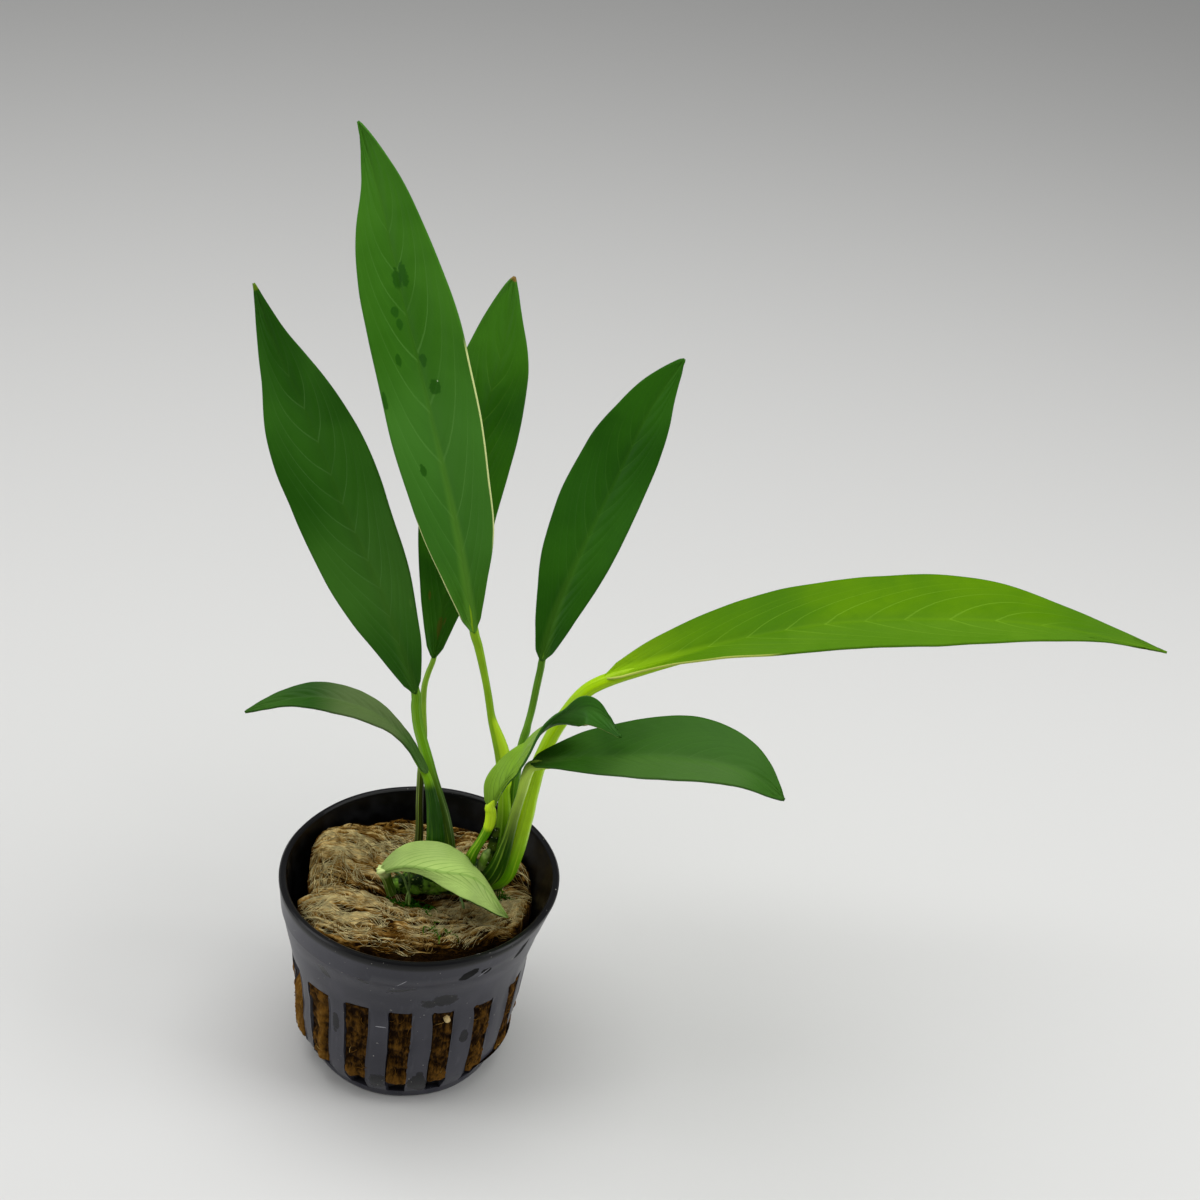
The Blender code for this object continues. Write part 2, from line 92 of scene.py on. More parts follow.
def wall_radius(height):
    """Outer radius of the pot's wall at a height, in mm."""
    for (low_radius, low), (high_radius, high) in zip(OUTER_WALL, OUTER_WALL[1:]):
        if height <= high:
            share = max(0.0, (height - low) / (high - low))
            return low_radius + (high_radius - low_radius) * share
    return OUTER_WALL[-1][0]


def slot_half_angle(height, slot):
    """Half the angle of a slot at a height, in degrees. Its corners are drawn in."""
    share = min(1.0, max(0.0, (height - SLOT_BOTTOM) / (SLOT_TOP - SLOT_BOTTOM)))
    half = SLOT_HALF_BOTTOM + (SLOT_HALF_TOP - SLOT_HALF_BOTTOM) * share
    corner = SLOT_CORNER if share in (0.0, 1.0) else 1.0
    return half * corner * SLOT_WIDTHS[(slot + SLOT_COUNT // 2) % SLOT_COUNT]


def along(values, t):
    """Read a value or vector from a short list spread evenly over t = 0 to 1."""
    if len(values) == 1:
        return values[0]
    place = min(max(t, 0.0), 1.0) * (len(values) - 1)
    index = min(int(place), len(values) - 2)
    return values[index] + (values[index + 1] - values[index]) * (place - index)


def curve_between(before, a, b, after, u):
    """A place on a smooth curve from a to b, which comes from before and goes on to after."""
    return 0.5 * (2 * a + (b - before) * u + (2 * before - 5 * a + 4 * b - after) * u ** 2
                  + (3 * a - before - 3 * b + after) * u ** 3)


def smooth_along(values, t):
    """As along, but on a smooth curve through the values."""
    place = min(max(t, 0.0), 1.0) * (len(values) - 1)
    index = min(int(place), len(values) - 2)
    a, b = values[index], values[index + 1]
    before = values[index - 1] if index else 2 * a - b
    after = values[index + 2] if index + 2 < len(values) else 2 * b - a
    return curve_between(before, a, b, after, place - index)


def split_column(column):
    """The slot that a spun column belongs to, and its place from the slot's middle."""
    slot = math.floor((column + SLOT_COLUMNS / 2) / SLOT_COLUMNS)
    return slot, column - slot * SLOT_COLUMNS


def slot_turn(column, height):
    """Angle of the middle of the slot that a column belongs to, in degrees, at a height."""
    slot, _ = split_column(column)
    place = (column / SLOT_COLUMNS / SLOT_COUNT + 0.5) % 1.0
    foot, top = smooth_along(SLOT_DRIFT_FOOT, place), smooth_along(SLOT_DRIFT_TOP, place)
    return SLOT_TURN + SLOT_PITCH * slot + foot + (top - foot) * min(1.0, height / SLOT_TOP)


def slot_lift(column, height):
    """How far the wall is drawn up near the slots' tops, in mm."""
    near = max(0.0, 1 - abs(height - SLOT_TOP) / SLOT_LIFT_REACH)
    return near * smooth_along(SLOT_LIFT, (column / SLOT_COLUMNS / SLOT_COUNT + 0.5) % 1.0)


def column_angle(column, half, height):
    """Angle of a column in degrees, spread so that the edge columns lie on the slot's edges."""
    _, step = split_column(column)
    inside = min(abs(step), SLOT_EDGE_COLUMN) / SLOT_EDGE_COLUMN * half
    outer_columns = SLOT_COLUMNS / 2 - SLOT_EDGE_COLUMN
    outside = max(abs(step) - SLOT_EDGE_COLUMN, 0) / outer_columns * (SLOT_PITCH / 2 - half)
    return slot_turn(column, height) + math.copysign(inside + outside, step)


def column_of(place):
    """The spun column, counted from the X axis, that a point lies in."""
    return math.degrees(math.atan2(place.y, place.x)) * SLOT_COUNT * SLOT_COLUMNS / 360


def wall_lean(height):
    """How far the wall stands out of true at a height, as a vector in mm."""
    height = min(height, WALL_LEAN[-1][0])
    for (low, low_x), (high, high_x) in zip(WALL_LEAN, WALL_LEAN[1:]):
        if height <= high:
            x = low_x + (high_x - low_x) * (height - low) / (high - low)
            forward = LEAN_FORWARD * (1 - height / POT_HEIGHT) ** LEAN_CURVE
            return Vector((x, -forward, 0.0))


def beside_wall(radius, turn, height):
    """The place at a radius, a turn in radians and a height, as far out of true as the wall."""
    return Vector((radius * math.cos(turn), radius * math.sin(turn), height)) + wall_lean(height)


def spin_outline(outline):
    """A bmesh of an outline of radius and height, spun right round the pot's axis."""
    bm = bmesh.new()
    corners = [bm.verts.new((radius, 0.0, height)) for radius, height in outline]
    edges = [bm.edges.new(pair) for pair in zip(corners, corners[1:])]
    bmesh.ops.spin(bm, geom=corners + edges, cent=(0, 0, 0), axis=(0, 0, 1), angle=math.tau,
                   steps=SLOT_COUNT * SLOT_COLUMNS, use_merge=True)
    bmesh.ops.remove_doubles(bm, verts=bm.verts, dist=0.001)
    bmesh.ops.recalc_face_normals(bm, faces=bm.faces)
    return bm


def add_piece(name, bm, *finishes, sharp=40.0):
    """Turn a bmesh in mm into an object in metres that wears the given materials. Edges
    that fold by more than the sharp angle stay sharp."""
    mesh = bpy.data.meshes.new(name)
    bmesh.ops.scale(bm, vec=(MM, MM, MM), verts=bm.verts)
    bm.to_mesh(mesh)
    bm.free()
    mesh.shade_smooth()
    mesh.set_sharp_from_angle(angle=math.radians(sharp))
    for finish in finishes:
        mesh.materials.append(finish)
    piece = bpy.data.objects.new(name, mesh)
    bpy.context.scene.collection.objects.link(piece)
    return piece


SCREEN_GAMMA = 2.2


class Finish:
    """A procedural material that is put together node by node. Its shades are tuples of
    red, green and blue as they look on screen, 0 to 255."""

    def __init__(self, name, roughness=0.5, shine=0.5):
        self.material = bpy.data.materials.new(name)
        self.material.use_nodes = True
        self.nodes = self.material.node_tree.nodes
        self.links = self.material.node_tree.links
        self.shader = self.nodes["Principled BSDF"]
        self.shader.inputs["Roughness"].default_value = roughness
        self.shader.inputs["Specular IOR Level"].default_value = shine
        self.place = self.add("TexCoord").outputs["Object"]

    def add(self, kind, **settings):
        node = self.nodes.new("ShaderNode" + kind)
        for key, value in settings.items():
            setattr(node, key, value)
        return node

    def feed(self, socket, value):
        """Link a socket, or set a plain value on it."""
        if isinstance(value, bpy.types.NodeSocket):
            self.links.new(value, socket)
        else:
            socket.default_value = value

    def told(self, name):
        """A value that the piece's vertices carry."""
        return self.add("Attribute", attribute_name=name).outputs["Fac"]

    def unwrapped(self, name):
        """The place on the piece's own flat map."""
        return self.add("UVMap", uv_map=name).outputs[0]

    def split(self, vector):
        node = self.add("SeparateXYZ")
        self.feed(node.inputs[0], vector)
        return node.outputs

    def join(self, x, y, z=0.0):
        node = self.add("CombineXYZ")
        for socket, value in zip(node.inputs, (x, y, z)):
            self.feed(socket, value)
        return node.outputs[0]

    def math(self, operation, first, second=0.0, third=0.0):
        node = self.add("Math", operation=operation)
        for socket, value in zip(node.inputs, (first, second, third)):
            self.feed(socket, value)
        return node.outputs[0]

    def far(self, first, second):
        """How far a point is from a centre, from how far it is each way."""
        squares = [self.math("POWER", way, 2.0) for way in (first, second)]
        return self.math("SQRT", self.math("ADD", *squares))

    def between(self, value, low, high, start=0.0, end=1.0):
        """Start below low, end above high, and a smooth change from one to the other."""
        node = self.add("MapRange", interpolation_type="SMOOTHSTEP")
        for socket, entry in zip(node.inputs, (value, low, high, start, end)):
            self.feed(socket, entry)
        return node.outputs[0]

    def window(self, value, start, end, soft):
        """One from start to end, and nothing outside them."""
        return self.math("MULTIPLY", self.between(value, start - soft, start + soft),
                         self.between(value, end - soft, end + soft, 1.0, 0.0))

    def mottle(self, scale, detail=3.0, vector=None, distortion=0.0, roughness=0.5):
        node = self.add("TexNoise")
        self.feed(node.inputs["Vector"], self.place if vector is None else vector)
        node.inputs["Scale"].default_value = scale
        node.inputs["Detail"].default_value = detail
        node.inputs["Roughness"].default_value = roughness
        node.inputs["Distortion"].default_value = distortion
        return node.outputs["Fac"]

    def stretch(self, x, y, z, vector=None):
        node = self.add("Mapping")
        self.feed(node.inputs["Vector"], self.place if vector is None else vector)
        node.inputs["Scale"].default_value = (x, y, z)
        return node.outputs["Vector"]

    def blend(self, amount, first, second, kind="MIX"):
        """Mix two colours, each of them a socket or a shade."""
        node = self.add("Mix", data_type="RGBA", blend_type=kind)
        self.feed(node.inputs[0], amount)
        colours = [socket for socket in node.inputs if socket.type == "RGBA"]
        for socket, colour in zip(colours, (first, second)):
            if isinstance(colour, tuple):
                colour = tuple((part / 255) ** SCREEN_GAMMA for part in colour) + (1.0,)
            self.feed(socket, colour)
        return next(socket for socket in node.outputs if socket.type == "RGBA")

    def wear(self, colour, roughness=None, height=None, depth=0.1, strength=0.5):
        """Feed the finished colour, roughness and relief to the shader."""
        self.feed(self.shader.inputs["Base Color"], colour)
        if roughness is not None:
            self.feed(self.shader.inputs["Roughness"], roughness)
        if height is not None:
            bump = self.add("Bump")
            bump.inputs["Strength"].default_value = strength
            bump.inputs["Distance"].default_value = depth * MM
            self.feed(bump.inputs["Height"], height)
            self.links.new(bump.outputs["Normal"], self.shader.inputs["Normal"])
        return self.material


PLASTIC, PLASTIC_CLOUD, SCUFF = (54, 54, 61), (64, 64, 71), (82, 82, 88)
# Painted shade on the rim: the wall darkens from LIP_START to LIP_END mm up and is nearly black
# above.
PAINTED_LIP_SHADE, LIP_START, LIP_END = (7, 7, 8), 39.9, 40.7
FLECK = (150, 148, 142)
# Marks on the front of the wall: x, height, half length, half width, turn and shade. They
# are wet patches, a wet foot to some ribs, dull pits and three scratches.
PIT, DAMP, SCRATCH = (2, 2, 2), (26, 26, 29), (170, 170, 176)
POT_MARKS = [
    (7.6, 30.3, 3.6, 2.0, 10, DAMP), (12.3, 37.3, 2.2, 1.0, 28, PIT),
    (15.3, 37.0, 1.2, 0.8, 20, PIT), (-7.3, 35.0, 1.3, 0.35, -10, DAMP),
    (-14.9, 32.9, 2.2, 0.8, -35, DAMP), (-4.1, 5.6, 1.8, 3.2, 0, DAMP),
    (3.5, 5.8, 2.0, 3.6, 0, DAMP), (-12.8, 19.5, 0.8, 3.0, 0, DAMP),
    (11.7, 18.0, 0.8, 1.8, 0, DAMP), (0.3, 34.2, 2.4, 0.4, 12, DAMP),
    (21.4, 37.4, 2.6, 0.5, 60, PIT), (0.2, 36.5, 1.6, 0.06, 42, SCRATCH),
    (-3.7, 22.3, 1.2, 0.1, 4, SCRATCH), (15.0, 36.6, 1.6, 0.07, 38, SCRATCH),
]


def pot_plastic():
    finish = Finish("pot_plastic", shine=0.2)
    x, y, z = finish.split(finish.place)
    scuff = finish.mottle(900, detail=5, vector=finish.stretch(1, 1, 0.25))
    grain = finish.mottle(2600, detail=2)
    cloud = finish.mottle(70, detail=4, distortion=0.5)
    colour = finish.blend(finish.between(cloud, 0.35, 0.7), PLASTIC, PLASTIC_CLOUD)
    colour = finish.blend(finish.between(scuff, 0.58, 0.8, 0.0, 0.35), colour, SCUFF)
    front = finish.math("LESS_THAN", y, 0.0)
    ragged = finish.mottle(420, detail=3)
    soaked, dull = 0.0, 0.0
    for mark_x, mark_z, length, width, turn, shade in POT_MARKS:
        cos, sin = math.cos(math.radians(turn)), math.sin(math.radians(turn))
        aside = finish.math("SUBTRACT", x, mark_x * MM)
        above = finish.math("SUBTRACT", z, mark_z * MM)
        ahead = finish.math("ADD", finish.math("MULTIPLY", aside, cos / (length * MM)),
                            finish.math("MULTIPLY", above, sin / (length * MM)))
        across = finish.math("ADD", finish.math("MULTIPLY", aside, -sin / (width * MM)),
                             finish.math("MULTIPLY", above, cos / (width * MM)))
        far = finish.math("MULTIPLY_ADD", ragged, 1.6, finish.far(ahead, across))
        inside = finish.math("MULTIPLY", finish.between(far, 1.6, 1.8, 1.0, 0.0), front)
        colour = finish.blend(inside, colour, shade)
        if shade == DAMP:
            soaked = finish.math("MAXIMUM", inside, soaked)
        if shade == PIT:
            dull = finish.math("MAXIMUM", inside, dull)
    # Painted shade on the rim's top.
    lip = finish.between(z, LIP_START * MM, LIP_END * MM, 0.0, 0.95)
    colour = finish.blend(lip, colour, PAINTED_LIP_SHADE)
    fleck = finish.between(finish.mottle(2300, detail=0), 0.84, 0.87)
    colour = finish.blend(fleck, colour, FLECK)
    rough = finish.math("SUBTRACT", finish.between(cloud, 0.2, 0.8, 0.27, 0.35),
                        finish.math("MULTIPLY", soaked, 0.12))
    rough = finish.math("MULTIPLY_ADD", dull, 0.5, rough)
    return finish.wear(colour, rough, finish.math("ADD", scuff, grain), depth=0.04, strength=0.35)


def painted_shade_inside():
    """The inside of the wall, painted nearly black: painted shade, as the inside lies in shadow.
    """
    finish = Finish("pot_inside", shine=0.25)
    inside_cloud = finish.mottle(300, detail=3)
    colour = finish.blend(finish.between(inside_cloud, 0.4, 0.7), (8, 8, 9), (18, 18, 20))
    return finish.wear(colour, finish.between(inside_cloud, 0.3, 0.7, 0.3, 0.5), inside_cloud, depth=0.05)


def painted_light_floor():
    """The upper face of the floor, mottled from dark to pale grey: painted light, as though lit,
    though it lies in shade under the wool.
    """
    finish = Finish("pot_floor", roughness=0.6)
    floor_patches = finish.between(finish.mottle(260, detail=4), 0.4, 0.65)
    return finish.wear(finish.blend(floor_patches, (40, 40, 44), (170, 170, 176)))


def opening_of(face):
    """The slot or drain that a face of the spun pot lies in, if it lies in one."""
    middle = face.calc_center_median()
    slot, step = split_column(column_of(middle))
    if abs(step) > SLOT_EDGE_COLUMN:
        return None
    if SLOT_BOTTOM < middle.z < SLOT_TOP and middle.xy.length > DRAIN_ROWS[-1]:
        return "slot", slot % SLOT_COUNT
    in_floor = middle.z < SLOT_BOTTOM and DRAIN_ROWS[0] < middle.xy.length < DRAIN_ROWS[-1]
    if in_floor and slot % 2:
        return "drain", slot % SLOT_COUNT
    return None


def cut_openings(bm):
    """Take the faces out of both skins at each slot and drain, and join the skins round it."""
    openings = {}
    for face in bm.faces:
        openings.setdefault(opening_of(face), []).append(face)
    closed = set(openings.pop(None))
    brims = {place: [edge for face in faces for edge in face.edges
                     if any(other in closed for other in edge.link_faces)]
             for place, faces in openings.items()}
    taken = [face for faces in openings.values() for face in faces]
    bmesh.ops.delete(bm, geom=taken, context="FACES")
    for brim in brims.values():
        bmesh.ops.bridge_loops(bm, edges=brim)
    return [edge for (kind, _), brim in brims.items() if kind == "slot" for edge in brim]


def true_up_columns(bm):
    """Move each column to its place at the slot's edges, then put the pot out of true."""
    for vert in bm.verts:
        radius = vert.co.xy.length
        if radius < 0.01:  # on the pot's axis
            vert.co += wall_lean(vert.co.z)
            continue
        column = round(column_of(vert.co))
        half = slot_half_angle(vert.co.z, split_column(column)[0])
        if vert.co.z < SLOT_BOTTOM and DRAIN_ROWS[0] - 0.1 < radius < DRAIN_ROWS[-1] + 0.1:
            half = math.degrees(math.asin(DRAIN_HALF / radius))
        angle = math.radians(column_angle(column, half, vert.co.z))
        if radius > DRAIN_ROWS[-1]:
            around = (2 * math.cos(angle), 2 * math.sin(angle), vert.co.z / WAVE_HEIGHT)
            pull = max(0.0, math.cos(angle - RIM_PULL_TURN))
            radius += WALL_WAVE * noise.noise(around)
            radius += RIM_PULL * pull * (vert.co.z / POT_HEIGHT) ** RIM_PULL_CURVE
        lift = Vector((0, 0, slot_lift(column, vert.co.z)))
        vert.co = beside_wall(radius, angle, vert.co.z) + lift


def mould_pot():
    """The shell as one outline spun round, with its slots and drains cut through."""
    inner_wall = [(radius - POT_WALL, height) for radius, height in reversed(OUTER_WALL)
                  if SLOT_BOTTOM <= height <= INNER_WALL_TOP]
    floor_rings = [0.0, FLOOR_HUB, *DRAIN_ROWS]
    underneath = [(radius, 0.0) for radius in floor_rings]
    floor = [(radius, FLOOR_TOP) for radius in reversed(floor_rings)]
    outline = [*underneath, *OUTER_WALL, *INNER_RIM, *inner_wall, *FLOOR_EDGE, *floor]
    bm = spin_outline(outline)
    brims = cut_openings(bm)
    for face in bm.faces:
        middle = face.calc_center_median()
        if middle.xy.length > wall_radius(middle.z) - 0.7 * POT_WALL:
            continue
        if SLOT_BOTTOM < middle.z < POT_HEIGHT - 0.5:
            face.material_index = 1
        elif abs(middle.z - FLOOR_TOP) < 0.1:
            face.material_index = 2
    true_up_columns(bm)
    bmesh.ops.bevel(bm, geom=brims, offset=SLOT_SOFTNESS, segments=2, profile=0.5,
                    affect="EDGES", material=-1)
    bmesh.ops.recalc_face_normals(bm, faces=bm.faces)
    return add_piece("net_pot_shell", bm, pot_plastic(), painted_shade_inside(), painted_light_floor(), sharp=35.0)


net_pot = mould_pot()
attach(net_pot, "root")
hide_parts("net_pot")

# Mineral wool
# A plug of brown horticultural wool, cut squarish and pushed into the pot, so that it
# bulges a little in the slots. Its mat of fibres lies in torn layers, climbs the wall
# at the back left, and frays into loose strands, which are modelled one by one.

WOOL_TOP = 36.0
WOOL_BOTTOM = 6.0
WOOL_CLEAR = 0.3
WOOL_LEVELS = [WOOL_BOTTOM, *[6.5 + 0.81 * step for step in range(24)], 26.2, 28.0, 31.5]
WOOL_TOP_RINGS = 62
# The wool swells out of two slots at the left, and lies in a fold in the one beside them
SWOLLEN_SLOTS, FOLDED_SLOT = (12, 13), 14
SWELL, SWELL_PALE, SWELL_END = 0.4, 0.18, 18.0
# How far the torn layers' ledges, their lumps and their fibres stand up
LEDGE_HEIGHT, LUMP_HEIGHT, FIBRE_HEIGHT = 1.7, 0.7, 0.36
# The top rises to its edge from this share of the way out and over this much of it, and
# rounds over by this drop from this share on
RISE_START, RISE_SPAN = 0.35, 0.6
ROUND_DROP, ROUND_START = 1.4, 0.9
# How pale the wool is where nothing else is said, and how plainly its fibres show on the
# sides, where 1 is as plainly as on top
EVEN_PALE = 0.43
SIDE_LOOSE = 0.4

# Edge of the wool's top: x, y and height
WOOL_EDGE = [
    (-22.3, -6.9, 35.6), (-22.7, -4.5, 35.8), (-21.3, -1.5, 36.0), (-22.0, 2.4, 37.0),
    (-22.1, 4.8, 38.0), (-22.1, 8.7, 39.0), (-21.0, 12.6, 39.6), (-19.8, 14.8, 39.6),
    (-16.6, 17.4, 39.4), (-12.6, 18.4, 39.0), (-8.9, 19.6, 38.6), (-3.5, 20.6, 38.1),
    (1.5, 21.0, 37.6), (7.2, 21.4, 37.2), (13.6, 19.4, 36.8), (18.4, 15.0, 36.4),
    (21.2, 9.8, 36.0), (22.2, 3.6, 35.6), (21.0, -2.8, 35.5), (18.8, -8.4, 35.5),
    (13.6, -10.9, 35.4), (7.0, -14.2, 35.3), (0.9, -15.5, 35.2), (-5.5, -15.9, 35.2),
    (-11.5, -15.6, 35.2), (-14.7, -14.5, 35.3), (-17.9, -12.6, 35.4), (-20.3, -10.0, 35.5),
]

# The torn layers of the mat, from the back to the front: how high each line stands above
# the smooth top, and its y at ten even steps from the left to the right.
LAYER_LEFT, LAYER_RIGHT = -22.0, 23.0
LAYER_LINES = [
    (0.9, [18.0, 20.5, 20.8, 21.5, 21.6, 22.1, 22.6, 22.6, 22.6, 22.6]),
    (-0.5, [14.5, 16.2, 16.0, 17.1, 17.6, 17.9, 19.0, 19.2, 18.4, 17.5]),
    (0.3, [12.0, 13.9, 14.4, 14.3, 13.9, 13.8, 14.6, 15.4, 15.1, 13.7]),
    (0.9, [8.1, 10.4, 10.6, 9.1, 8.4, 8.5, 9.9, 10.3, 10.4, 9.6]),
    (-1.1, [2.4, 4.2, 2.6, 0.8, -1.6, -2.1, -0.4, 1.7, 3.9, 4.8]),
    (1.0, [-5.8, -3.3, -3.0, -4.4, -6.8, -7.3, -6.3, -3.9, -0.6, 2.0]),
    (0.6, [-8.8, -8.7, -9.9, -11.0, -11.6, -11.6, -10.2, -8.2, -5.7, -2.3]),
    (0.1, [-11.9, -13.4, -15.0, -15.4, -15.5, -15.2, -13.8, -11.5, -9.1, -6.1]),
    (-0.3, [-15.0, -17.0, -18.5, -19.0, -19.0, -18.7, -17.5, -15.0, -12.5, -10.0]),
]
# Hollows and lumps: x, y, reach along x and along y, and height
WOOL_LUMPS = [
    (-2.6, 1.8, 3.4, 2.4, -2.0), (-5.0, 0.4, 1.6, 1.6, -0.9), (15.2, -9.0, 3.8, 1.3, 1.0),
    (13.0, -6.6, 5.0, 1.0, -0.8), (20.4, 7.6, 2.4, 3.6, -1.0), (-12.5, -0.5, 5.0, 1.2, -0.6),
    (5.5, -2.4, 2.6, 1.2, 0.6),
]
# Paler and browner places on the top: x, y, reach along x and along y, and how much
WOOL_TONES = [
    (-15.5, 9.5, 7.0, 4.2, 0.44), (-12.5, -3.6, 8.0, 2.4, 0.34), (-11.0, -10.0, 8.0, 2.6, 0.3),
    (7.0, -4.6, 7.0, 3.6, 0.34), (18.8, -0.5, 3.0, 4.4, 0.75), (-2.5, -8.6, 6.0, 2.2, -0.45),
    (-13.0, 5.0, 8.0, 6.0, 0.14), (6.5, 13.0, 4.0, 4.0, 0.2),
    (-15.5, 2.4, 7.0, 1.8, -0.45), (15.5, -9.2, 5.0, 1.8, -0.22), (20.0, 8.5, 3.5, 4.5, -0.4),
    (-20.5, -9.0, 3.0, 3.0, -0.16), (-1.0, -15.4, 16.0, 2.2, -0.5), (-2.5, -10.4, 5.0, 2.6, -0.45),
    (-18.5, 9.5, 4.0, 3.0, 0.1), (-14.0, 17.5, 8.0, 2.6, -0.2), (-3.0, 0.8, 4.6, 3.4, -0.7),
    (-10.0, 20.0, 16.0, 2.6, -0.26), (16.0, -12.5, 7.0, 2.0, -0.3), (13.0, 18.5, 6.0, 3.0, -0.25),
]


def running_length(points):
    """How far along a route each of its points lies."""
    reach = [0.0]
    for a, b in zip(points, points[1:]):
        reach.append(reach[-1] + (b - a).length)
    return reach


ROUTE_STEPS = 24


def smooth_route(points, count):
    """Points evenly spaced on a smooth curve through the given points."""
    points = [Vector(point) for point in points]
    padded = [points[0] * 2 - points[1], *points, points[-1] * 2 - points[-2]]
    fine = [curve_between(*padded[start:start + 4], step / ROUTE_STEPS)
            for start in range(len(points) - 1) for step in range(ROUTE_STEPS)]
    fine.append(points[-1])
    reach = running_length(fine)
    route = []
    index = 0
    for step in range(count):
        target = reach[-1] * step / (count - 1)
        while index < len(fine) - 2 and reach[index + 1] < target:
            index += 1
        span = reach[index + 1] - reach[index]
        route.append(fine[index].lerp(fine[index + 1], (target - reach[index]) / span))
    return route


def nearest_edge(route, turn):
    """The point of the edge's route that lies nearest to a direction in degrees."""
    ahead = Vector((math.cos(math.radians(turn)), math.sin(math.radians(turn))))
    return min(route, key=lambda point: point.xy.angle(ahead))


edge_route = smooth_route([*WOOL_EDGE, WOOL_EDGE[0]], 361)
edge_by_angle = [nearest_edge(edge_route, turn) for turn in range(360)]


def wool_edge(angle):
    """The edge of the wool's top in the direction of an angle in degrees."""
    whole = math.floor(angle)
    first, second = edge_by_angle[whole % 360], edge_by_angle[(whole + 1) % 360]
    return first.lerp(second, angle - whole)


def hills(places, x, y):
    """Sum of rounded hills at a point: each has a place, a reach each way and a height."""
    return sum(height * math.exp(-((x - at_x) / reach_x) ** 2 - ((y - at_y) / reach_y) ** 2)
               for at_x, at_y, reach_x, reach_y, height in places)


def layer_place(x, y):
    """Which torn layer a point of the wool lies in, counted from the back."""
    y += 0.7 * noise.noise((x / 9, y / 9, 3.0)) + 0.2 * noise.noise((x / 3, y / 3, 6.0))
    t = (x - LAYER_LEFT) / (LAYER_RIGHT - LAYER_LEFT)
    back = smooth_along(LAYER_LINES[0][1], t)
    for index in range(1, len(LAYER_LINES)):
        front = smooth_along(LAYER_LINES[index][1], t)
        if y > front or index == len(LAYER_LINES) - 1:
            return index - 1 + (back - y) / (back - front)
        back = front


def layer_relief(x, layer):
    """Height of the ledges and fibres of the torn layers in mm, and their painted light and
    shade: a painted shadow line under each ledge and a painted highlight on its lip."""
    phase = layer * 2.9 + 1.3 * noise.noise((x / 8, layer * 0.9, 4.0))
    step = phase - math.floor(phase)
    torn = max(0.0, 0.5 + 0.9 * noise.noise((x / 6, layer * 1.3, 7.0)))
    ledge = torn * (step * min(1.0, (1.0 - step) / 0.14) - 0.45)
    middle = noise.noise((x / 3.6, layer * 3.6, 5.0))
    fine = noise.noise((x / 1.7, layer * 8.0, 9.0))
    lip = math.exp(-((step - 0.8) / 0.09) ** 2)
    foot = math.exp(-((step - 0.985) / 0.06) ** 2) + math.exp(-((step - 0.03) / 0.1) ** 2)
    # Painted shadow at each ledge's foot, painted highlight on its lip, and paler tops where lumps
    # and fibres stand higher.
    shade = torn * (0.5 * lip - 1.2 * min(1.0, foot)) + 0.74 * middle + 0.56 * fine
    return LEDGE_HEIGHT * ledge + LUMP_HEIGHT * middle + FIBRE_HEIGHT * fine, shade


wool_places = {}


def wool_place(x, y):
    """Height of the wool's top, how near the edge it is, its paleness and its layer. The
    paleness holds painted light and shade as well as the wool's tone. Each place is worked
    out once for every eighth of a millimetre."""
    key = (round(x * 8), round(y * 8))
    if key in wool_places:
        return wool_places[key]
    flat = Vector((x, y))
    edge = wool_edge(math.degrees(math.atan2(y, x)))
    share = flat.length / edge.xy.length
    smooth = min(1.0, max(0.0, (share - RISE_START) / RISE_SPAN))
    rise = smooth * smooth * (3 - 2 * smooth)
    round_over = ROUND_DROP * max(0.0, share - ROUND_START) ** 2 / 0.01
    layer = layer_place(x, y)
    heights = [height for height, _ in LAYER_LINES]
    broad = 1.25 * smooth_along(heights, layer / (len(heights) - 1)) + hills(WOOL_LUMPS, x, y)
    broad += 0.5 * noise.noise((x / 9, y / 5, 1.0))
    detail, shade = layer_relief(x, layer)
    height = WOOL_TOP + (edge.z - WOOL_TOP) * rise - round_over + broad + detail
    # The paleness is the wool's own tone plus painted light and shade: it is paler where the wool
    # and its ledges stand higher, and darker over the last twentieth by the edge, where the top
    # drops into the gap by the wall.
    pale = EVEN_PALE + hills(WOOL_TONES, x, y) + 0.12 * broad + 0.3 * detail + 0.9 * shade
    pale -= 0.9 * max(0.0, share - 0.95) / 0.05
    wool_places[key] = (height, share, min(1.0, max(0.0, pale)), layer)
    return wool_places[key]


def slot_bulge(slot, height):
    """How far the wool stands out of a slot at a height, in mm."""
    swell = 0.5 + 0.5 * noise.noise((slot * 3.1, height / 5.0, 2.0))
    low = 0.5 * max(0.0, 1 - abs(height - 7.0) / 4.5)
    left = SWELL if slot % SLOT_COUNT in SWOLLEN_SLOTS else 0.0
    return 0.35 * swell + low - 0.25 + left * math.sin(math.pi * min(1.0, height / 20)) ** 0.6


